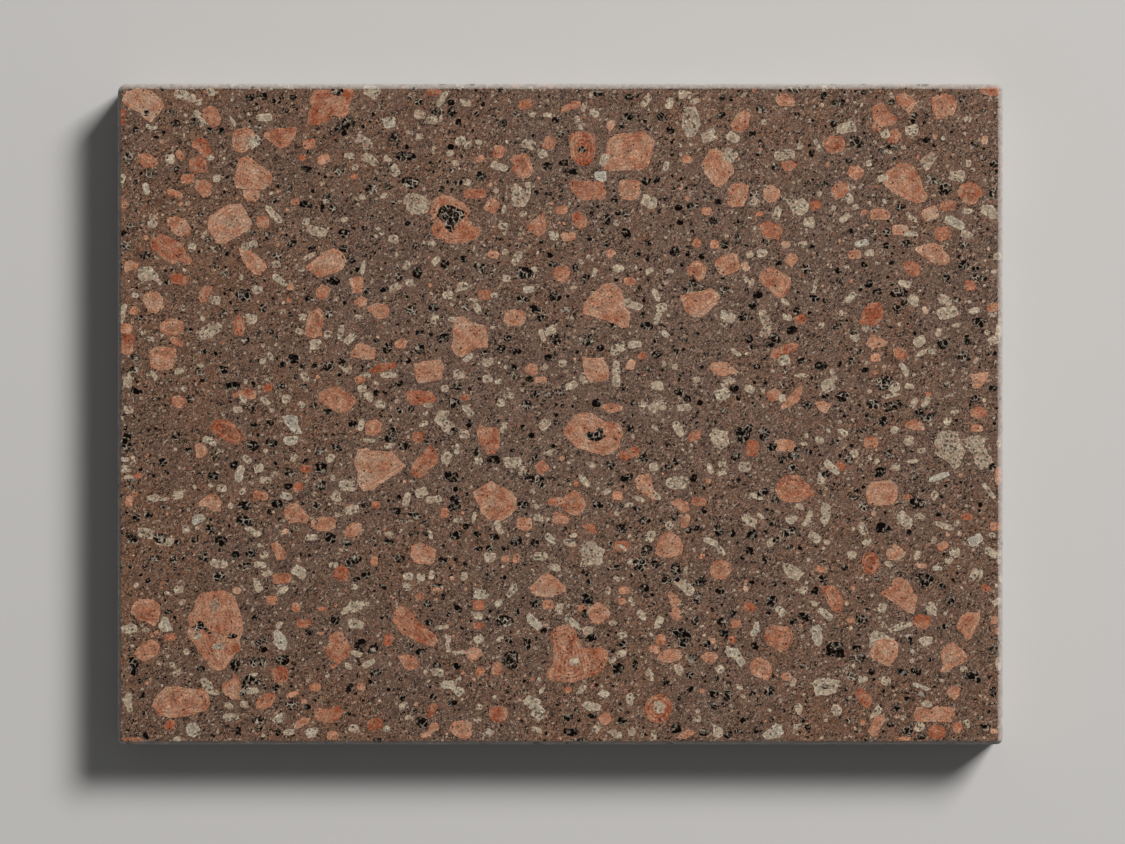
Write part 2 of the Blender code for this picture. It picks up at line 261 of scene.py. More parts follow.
FELDSPAR_GRAINS = """
.1: 828 236 19 11 -6
.15: 963 622 22 14 8 -625 -266 19 12 1 820 -344 21 12 -1
.2: 512 385 20 16 0
.3: 18 403 32 20 1 840 455 36 30 2 160 112 25 19 7 -542 -498 18 6 2 984 -720 16 12 0
.35: -280 -395 29 12 0
.38: -81 -249 33 30 0
.4: 772 418 36 24 0 -612 288 16 14 0 -362 159 26 20 0 345 -515 16 13 0
.45: -537 578 28 22 2 332 460 24 18 0 725 453 46 24 0 -152 362 26 16 0 715 128 22 18 0 130 -185 25 20 0
 994 -140 40 15 9 -920 -498 25 8 4 -582 -652 18 9 0 214 -534 23 19 0 514 -596 23 18 0 985 -468 20 15 8
.5: -845 534 30 22 0 -875 500 36 16 -2 -182 580 20 15 2 -155 473 32 30 6 288 490 13 12 0 380 340 55 42 2
 284 -242 31 19 8 -600 -438 22 19 8 -515 -572 15 10 0 145 -400 27 17 0 49 -440 18 14 2 18 -626 16 13 0
 992 -493 18 9 8
.55: -25 615 30 26 7 -422 -334 23 16 8 140 -425 19 14 1 659 -468 18 12 0
.6: -602 482 20 15 2 -863 588 25 15 -6 -140 596 28 25 8 350 385 20 20 0 310 388 20 18 7 452 455 18 10 1
 -968 235 20 18 8 -615 258 13 10 0 -45 78 30 14 0 115 365 22 18 3 525 350 28 24 6 982 242 29 18 1 -680
 -185 33 20 -1 -978 -198 25 18 8 -42 -121 28 27 4 -5 -236 27 24 7 -125 -328 20 14 0 315 -199 31 19 0
 945 -32 29 16 0 590 -352 23 14 -2 988 -255 26 19 1 -452 -618 19 17 0 -145 -578 29 22 8 102 -692 27 25
 3 322 -628 12 10 0 545 -480 10 9 0 782 -736 30 9 0
.65: 3 463 28 18 1 288 578 26 16 -1 -985 194 27 23 0 490 136 26 21 6 668 362 30 21 1 -10 -198 35 18 1 868
 -299 25 19 3 -654 -422 26 20 0 -556 -620 26 17 1 -540 -442 20 10 0
.7: -675 436 28 26 0 -585 582 15 15 0 -80 703 30 22 1 690 458 14 12 0 -455 78 25 16 0 158 302 28 17 0 715
 95 11 9 0 835 45 13 11 0 -965 -182 15 10 0 -262 -224 23 18 8 -418 -206 19 17 0 -100 -328 21 16 8 9
 -240 19 18 0 -608 -636 31 12 2 -182 -585 23 20 6 -320 -414 19 15 0 228 -512 25 20 8
.75: -570 613 28 22 1 -195 500 50 22 0 -209 412 38 32 0 868 410 34 32 1 -982 158 46 28 8 -171 271 28 22 1
 185 132 20 14 1 930 292 24 22 0 545 215 25 21 3 -632 -373 42 24 0 140 -299 31 24 0 335 -152 17 9 0 635
 -118 23 19 -3 788 -188 22 12 -1 -744 -532 34 24 3 -185 -434 27 22 0 -28 -432 24 21 0 686 -700 14 11 8
.8: -999 673 36 26 9 -822 565 40 36 1 -276 420 34 24 7 -468 538 16 12 3 440 734 10 10 0 880 473 36 24 0
 580 474 23 22 2 -958 -140 22 11 1 705 -64 31 25 0 922 -233 27 14 0 -292 -672 34 19 6 966 -395 22 16 -2
.85: -865 306 40 24 -2 -665 59 24 16 1 -215 38 20 14 1 -595 -165 23 20 0 -578 -124 25 16 0 -324 -51 25 22
 0 305 -50 30 20 2 -884 -506 27 16 0 -886 -705 26 20 6
.88: 435 -78 37 28 8
.9: 974 734 40 22 -1 -390 -512 28 20 8 -186 -480 23 15 0 429 -438 25 20 0
.92: -582 -475 36 19 0 -420 -703 34 25 2 398 -476 23 19 0
.95: -287 730 34 15 0 389 -512 18 17 0
"""

PLAGIOCLASE_OUTLINES = """
.3: -352 495 -338 504 -310 495 -295 480 -300 460 -318 451 -338 455 -358 482
.5: -112 515 -102 525 -85 510 -80 525 -68 526 -66 512 -70 485 -78 472 -95 470 -108 482
.5: 508 490 530 485 548 490 565 478 562 460 548 451 530 455
.6: 952 468 960 475 980 475 994 457 988 442 972 445 958 455
.85: -630 -5 -615 -2 -598 -4 -595 -25 -582 -45 -600 -46 -625 -22
.55: 338 -48 348 -32 378 -40 385 -68 365 -81 348 -70
.4: 42 -305 55 -290 75 -285 85 -300 102 -305 95 -325 98 -342 45 -346 50 -325
.3: 850 -60 858 -42 878 -36 900 -42 908 -60 925 -75 905 -120 895 -125 868 -100 852 -92
.35: 906 -60 925 -52 950 -48 965 -55 962 -75 985 -108 975 -122 952 -125 940 -110 935 -90 925 -75
.55: 505 -335 530 -342 555 -360 538 -378 518 -372 505 -350
.75: -902 -458 -890 -462 -880 -490 -895 -496 -908 -490 -912 -480
.8: -650 -495 -642 -486 -622 -508 -619 -522 -625 -536 -638 -534 -650 -522
.6: -1000 -485 -975 -474 -960 -480 -962 -495 -980 -500 -995 -495
.6: -995 -648 -982 -628 -970 -638 -975 -652 -971 -672 -980 -676
.75: -850 -712 -842 -700 -828 -700 -819 -712 -818 -725 -832 -736 -845 -728
.75: -580 -722 -572 -712 -552 -712 -550 -722 -558 -734 -572 -735
.45: -768 -685 -755 -678 -730 -682 -728 -690 -742 -698 -760 -698
.65: -658 -692 -632 -678 -626 -690 -630 -700 -648 -702
.45: -818 -605 -808 -598 -795 -605 -788 -622 -795 -635 -808 -628
.6: -648 -402 -635 -392 -620 -388 -615 -395 -628 -408 -642 -408
.7: -198 -410 -190 -396 -170 -400 -161 -412 -170 -422 -192 -418
.6: -125 -412 -108 -382 -99 -385 -98 -398 -105 -410 -118 -418
.75: -75 -450 -62 -455 -38 -480 -52 -492 -75 -472
.6: -498 -450 -472 -420 -432 -428 -462 -450 -480 -450 -495 -456
.6: -482 -468 -472 -460 -445 -475 -452 -488 -480 -485
.7: -275 -612 -265 -605 -245 -605 -238 -618 -220 -620 -218 -632 -230 -642 -250 -625 -265 -622
.65: -85 -650 -70 -638 -42 -650 -48 -660 -35 -672 -38 -690 -50 -698 -58 -685 -68 -688 -65 -675 -58 -666
 -70 -668 -80 -660
.65: -260 -500 -249 -502 -248 -515 -253 -520 -248 -542 -258 -540
.5: -248 -540 -218 -535 -220 -545 -238 -548
.65: -170 -722 -164 -712 -151 -720 -156 -734 -165 -732
.65: 6 -460 18 -455 42 -475 49 -488 35 -489 12 -470
.6: 260 -385 278 -378 295 -385 305 -400 298 -412 285 -408
.7: 372 -540 378 -528 402 -532 420 -562 412 -575 392 -552 382 -550
.75: 438 -472 450 -472 452 -485 448 -498 435 -505 430 -498 438 -488
.5: 258 -570 270 -565 279 -578 275 -595 265 -592
.6: 190 -590 200 -576 212 -590 211 -606 202 -605 202 -592 195 -595
.6: 150 -638 160 -632 168 -642 165 -660 155 -664 148 -650
.6: 48 -660 58 -650 80 -655 92 -662 90 -672 72 -676 55 -668
.7: 85 -635 95 -625 108 -628 112 -638 102 -645 90 -642
.55: 38 -632 45 -618 60 -615 58 -625 45 -636
.65: 342 -700 370 -715 368 -730 352 -739 345 -728 348 -715
.75: 458 -728 488 -700 502 -708 508 -722 500 -732 482 -738 468 -738
.4: 108 -720 122 -715 140 -722 138 -735 122 -735
.45: 152 -715 165 -710 172 -720 168 -730 155 -730
.45: 212 -654 228 -650 238 -662 234 -678 220 -678 210 -668
.6: 578 -450 588 -440 602 -442 621 -460 612 -470 590 -452
.75: 569 -485 582 -480 592 -482 596 -508 590 -528 578 -522 570 -505
.55: 701 -502 712 -491 732 -495 758 -512 735 -509 715 -515 703 -532
.55: 742 -488 775 -472 795 -472 799 -482 750 -495
.65: 811 -512 825 -505 845 -505 844 -518 830 -528 818 -522
.6: 572 -612 580 -600 600 -598 635 -605 625 -632 605 -638 580 -638
.45: 614 -672 620 -658 632 -660 640 -672 635 -685 620 -685
.5: 530 -662 542 -656 550 -665 549 -680 538 -682
.6: 702 -692 710 -672 720 -660 730 -668 728 -678 712 -690
.6: 828 -438 835 -425 850 -428 855 -460 832 -452
.6: 979 -425 992 -415 1002 -418 995 -435 985 -438
.35: 279 692 304 699 314 681 318 653 304 628 286 628 275 653
"""

PLAGIOCLASE_GRAINS = """
.2: 465 215 46 20 -7 466 186 26 22 7
.3: -705 382 36 18 2 835 575 44 24 5 926 569 16 15 0 -930 170 16 12 0 -645 340 20 16 0 -790 193 37 30 4
 -813 180 27 21 0 -375 288 29 16 3 -488 108 30 20 -4 -262 58 19 14 0 428 302 25 16 -1 980 227 21 13 0
 692 195 17 12 0 -925 -192 29 18 2 -899 -290 36 18 0 -881 -285 17 12 8 -388 -272 21 11 0 160 -335 17 14
 0 -940 -490 19 10 0 -824 -504 22 14 2 -774 -526 30 15 0 -784 -436 34 12 8 -468 -392 16 12 0
.35: -871 -588 26 12 3 -785 -632 21 13 0 -615 -722 27 13 1 62 -492 23 20 0 815 -710 24 19 6
.4: -925 437 32 20 8 -552 415 50 20 -2 -319 630 15 15 0 -250 592 16 13 4 -85 455 18 12 0 -400 496 20 12 0
 -490 442 16 12 0 -450 492 15 12 0 72 725 15 14 0 305 710 20 13 2 440 482 20 15 6 542 608 18 15 0 -688
 282 24 18 0 -630 232 15 12 0 -570 358 34 10 3 -982 75 30 20 8 -855 58 17 12 0 -720 35 24 12 -6 -222
 290 24 20 0 -200 258 20 10 0 -245 215 19 12 0 -150 270 16 12 0 -98 355 35 16 6 -62 322 26 15 7 -122
 308 19 16 0 -165 118 27 18 0 -230 90 27 20 1 -135 25 21 16 0 -125 368 17 12 0 130 148 34 22 2 5 115 19
 16 0 309 78 17 14 0 260 108 15 12 0 250 325 19 10 -2 52 78 20 14 -5 -712 -102 23 14 -5 -670 -150 29 15
 -1 -605 -98 20 14 6 -748 -208 15 12 8 -509 -188 23 18 0 -672 -320 21 14 2 -260 -24 56 25 -4 -108 -110
 35 25 0 -85 -129 23 17 8 -50 -235 21 16 0 -160 -325 27 21 0 -45 -322 29 18 0 -218 -368 19 14 8 418
 -120 27 22 0 219 -185 23 10 -4 105 -176 21 12 3 156 -206 19 10 0 22 -292 27 16 0 30 -275 19 10 1 128
 -374 19 10 -3 820 -83 19 12 0 542 -210 21 13 0 815 -232 25 12 -1 605 -290 15 12 0 980 -275 15 12 0 895
 -314 25 20 0 882 -332 19 14 0 745 -340 19 12 -4 994 -325 32 12 9 -698 -592 22 9 1 -355 -662 23 15 2
 -55 -716 22 12 -2 405 -620 20 10 -2 538 -710 18 14 0
.45: 385 588 31 28 6 -752 -662 21 13 -2 -138 -510 18 14 0 -278 -586 25 18 0 -184 -664 17 12 0 120 -474 20
 11 0 118 -558 17 13 2 311 -692 19 13 0 212 -728 23 12 8 734 -480 19 11 -5
.5: -819 670 42 18 -6 -852 723 50 20 -2 -820 708 20 12 3 -793 730 22 15 0 -743 665 32 7 -6 -780 535 18 16
 0 -808 408 22 8 6 -835 380 20 14 0 -428 732 36 26 -2 -215 707 22 16 0 -65 680 16 12 0 -320 680 26 18
 -1 -185 617 14 13 0 -392 580 18 12 -3 -477 586 25 13 0 -465 560 15 13 6 -432 578 38 19 -4 -212 526 22
 14 -1 -72 612 30 21 -2 -40 590 20 18 3 -130 427 22 14 0 -410 417 28 9 -5 -378 397 24 18 -1 -292 388 18
 12 0 54 698 20 13 7 38 670 15 13 0 48 653 16 14 7 195 712 32 15 5 282 725 30 18 0 338 632 34 26 2 100
 578 29 18 7 498 586 24 20 0 518 590 26 22 0 744 596 20 9 0 925 669 16 14 0 902 540 37 23 0 700 569 15
 13 0 550 385 20 14 0 670 470 16 12 2 645 445 27 14 4 922 408 30 15 -1 925 460 20 13 0 -701 216 24 22 0
 -584 220 19 15 0 -592 188 21 12 -2 -528 182 17 15 0 -675 120 15 12 1 -818 110 17 11 0 -865 98 21 14 1
 -580 85 27 15 -6 -670 30 27 12 -4 -622 35 21 17 0 -980 10 21 18 0 -282 348 23 14 5 -348 338 21 14 7
 -342 298 19 16 0 -285 214 23 16 8 -458 221 19 10 0 -438 88 17 11 0 -450 58 21 16 0 -435 40 25 15 -5
 -300 20 21 10 0 -265 2 27 12 0 -140 74 15 12 0 -118 42 21 16 0 163 248 48 17 -2 220 218 29 14 6 380 72
 31 16 3 220 18 34 26 3 188 22 23 12 0 202 325 19 12 3 430 362 17 14 0 458 365 23 18 1 30 288 19 9 2
 504 36 17 16 0 510 255 23 10 -4 872 259 35 21 -2 818 138 29 11 2 845 142 19 12 1 858 185 19 14 7 900
 202 23 9 2 608 65 33 27 2 750 42 45 9 1 895 5 19 10 0 702 366 19 16 0 -522 -100 20 17 6 -900 -193 25 8
 0 -768 -168 23 16 0 -720 -175 19 13 3 -850 -262 19 17 0 -705 -262 27 14 -3 -940 -270 36 23 -1 -665
 -362 23 13 1 -690 -378 15 12 0 -515 -342 21 12 0 -310 -22 23 11 2 -452 -25 26 13 8 -434 -60 31 9 0
 -390 -72 21 12 0 -258 -99 26 22 6 -128 -30 23 15 8 -185 -106 18 16 0 -484 -162 37 24 0 -508 -185 23 15
 8 -288 -194 35 16 1 -232 -240 19 13 0 -140 -256 31 16 -6 -295 -274 21 10 -7 -345 -368 23 16 0 -292
 -365 21 12 8 368 -114 19 14 0 366 -132 21 14 2 340 -124 27 12 -8 70 -115 27 11 -3 265 -156 50 26 0 178
 -192 31 10 -2 248 -252 19 17 4 445 -186 30 13 -1 205 -278 27 18 8 284 -355 20 9 8 275 -382 36 12 0 790
 -60 23 18 6 588 -59 19 15 0 800 -107 25 10 0 662 -94 30 17 4 760 -120 21 18 0 592 -146 25 18 8 562
 -238 39 13 6 525 -238 27 20 3 872 -254 50 13 -2 900 -248 15 12 0 686 -260 29 17 -6 578 -280 31 18 -4
 848 -286 20 10 8 810 -320 21 14 7 662 -320 21 18 0 996 -65 22 10 9 -866 -398 21 16 0 -718 -658 17 15 0
 -700 -628 29 14 0 -348 -392 21 16 0 -270 -484 34 10 1 -462 -544 29 12 -2 -480 -572 17 15 0 -342 -688
 21 10 0 -468 -714 23 18 0 -188 -692 20 10 0 162 -426 21 12 -6 141 -502 22 14 2 138 -544 25 15 2 82
 -714 18 15 6 832 -658 24 14 0 739 -606 24 17 -2 686 -602 21 15 0 578 -430 15 13 0 529 -609 22 11 6 915
 -578 18 12 0
.55: -849 -539 15 12 0 -870 -738 18 12 0 -186 -458 20 17 0 -394 -714 16 13 0 362 -579 19 18 3 924 -703 19
 11 -8 730 -440 22 19 8 552 -400 19 17 6
.6: -670 673 30 18 0 -927 651 26 11 -1 -886 579 22 20 0 -993 535 20 12 8 -650 452 52 15 -5 -577 437 17 15
 0 -268 715 42 13 6 -28 679 22 10 0 -286 668 38 16 1 -226 620 23 21 2 -210 610 22 10 4 -375 552 29 18
 -6 -237 570 16 13 0 -140 562 38 17 -2 -128 465 22 9 8 -15 405 22 19 0 77 682 22 16 -1 248 705 25 17 8
 392 628 26 22 -4 202 482 37 26 -2 492 455 27 18 7 650 650 39 25 1 798 644 30 23 0 732 536 23 16 1 738
 635 23 16 3 565 435 25 23 0 660 516 19 14 1 798 445 35 10 -4 600 735 22 12 8 -938 318 39 32 2 -965 270
 18 12 0 -910 300 22 9 -4 -994 228 44 14 8 -782 258 23 18 0 -638 305 36 14 -4 -556 158 26 23 0 -658 132
 19 11 -5 -922 88 23 11 -6 -732 10 19 15 0 -588 22 17 14 -3 -448 332 36 10 8 -498 185 30 14 8 -255 270
 23 18 0 -188 240 27 14 -7 -22 190 27 18 2 -42 180 26 12 -7 -390 89 39 13 0 -408 22 22 16 -1 -210 8 31
 14 -5 -165 80 21 18 0 218 270 35 12 -6 230 242 27 18 1 168 158 33 16 0 127 92 60 17 9 25 65 29 16 2
 220 65 29 19 0 429 58 25 17 -3 398 140 27 10 -4 280 15 33 16 1 132 330 27 16 1 508 122 25 23 2 578 292
 43 8 8 515 220 21 14 -1 782 295 28 15 -2 802 258 27 21 -3 878 230 47 26 2 984 168 24 19 2 668 175 23
 16 -3 815 165 31 20 3 792 63 21 12 -1 620 90 29 11 -6 548 88 33 9 0 758 60 27 19 2 802 25 28 13 6 830
 28 27 13 6 993 358 22 16 0 995 190 34 14 8 -988 -124 21 16 0 -978 -144 23 11 0 -685 -122 23 18 2 -868
 -184 23 19 0 -688 -272 19 13 1 -775 -340 39 17 -1 -682 -342 26 15 0 -565 -280 27 14 0 -592 -358 31 25
 -3 -218 -45 23 20 0 -234 -80 25 12 8 -35 -24 25 21 6 -20 -87 27 12 2 -315 -178 30 20 2 -349 -194 33 15
 8 -472 -216 33 20 2 -196 -235 29 9 8 -12 -348 23 16 0 -316 -370 18 17 0 268 -33 43 17 -6 215 -31 19 9
 -3 212 -120 21 19 1 54 -150 39 14 -6 430 -242 39 19 -3 455 -232 21 9 -4 342 -290 32 14 -2 364 -310 28
 13 -6 480 -290 27 14 3 642 -42 23 15 -3 759 -36 20 16 1 879 -16 20 15 6 849 -184 21 14 6 972 -174 46
 10 -5 602 -225 47 21 8 782 -240 43 24 -4 696 -290 19 16 6 978 -314 33 17 -3 940 -362 25 16 6 955 -364
 27 8 8 -686 -392 23 18 -6 -638 -478 19 12 6 -185 -510 21 19 3 -435 -566 29 14 3 -41 -625 25 9 6 -2
 -442 23 18 8 184 -456 26 15 -4 224 -472 28 17 8 32 -562 21 18 0 995 -566 30 14 9
.65: -140 -429 18 15 3 500 -447 26 17 -4
.7: -693 618 32 20 4 -940 512 26 15 -8 -793 582 16 12 3 -388 662 29 24 1 584 610 32 10 -7 656 490 21 16 -6
 895 435 47 20 -2 795 409 32 11 0 -476 172 30 17 5 -72 283 25 16 1 -208 128 27 12 4 380 222 35 21 -2
 238 182 21 12 -5 368 45 32 26 2 78 322 23 10 6 658 264 27 14 5 940 235 27 13 1 782 100 33 13 -6 -796
 -61 30 15 -2 -989 -103 23 10 0 -728 -136 39 18 8 -622 -186 29 15 -2 -22 -284 33 15 -4 142 -303 23 8 -4
 615 -120 41 16 -4
.75: -612 -60 34 19 0 818 -618 42 9 -2
.8: 240 562 24 12 8
.9: -822 -238 29 19 2 942 -286 30 23 3 855 -350 21 10 0
.95: 92 540 28 21 0 685 388 30 15 1 860 -142 50 13 2
"""

QUARTZ_OUTLINES = """
.9: 278 285 290 296 300 318 315 295 340 288 320 280 282 275
.5: -275 468 -260 476 -235 470 -218 458 -220 442 -240 430 -245 412 -260 420 -265 435 -280 448
.55: 52 -48 65 -40 78 -41 88 -30 98 -32 98 -45 106 -48 90 -60 78 -62 58 -55
.5: -838 -485 -815 -468 -790 -498 -800 -498 -812 -488 -825 -492
.5: -720 -598 -708 -592 -678 -605 -680 -615 -702 -612 -710 -622 -715 -638 -728 -640
.4: 245 -490 265 -485 290 -490 298 -505 292 -522 282 -532 270 -528 265 -512
.1: 602 -528 612 -518 632 -518 642 -522 646 -550 632 -554 605 -548
.3: 915 -592 928 -582 945 -582 958 -610 945 -610 932 -602 920 -602
"""

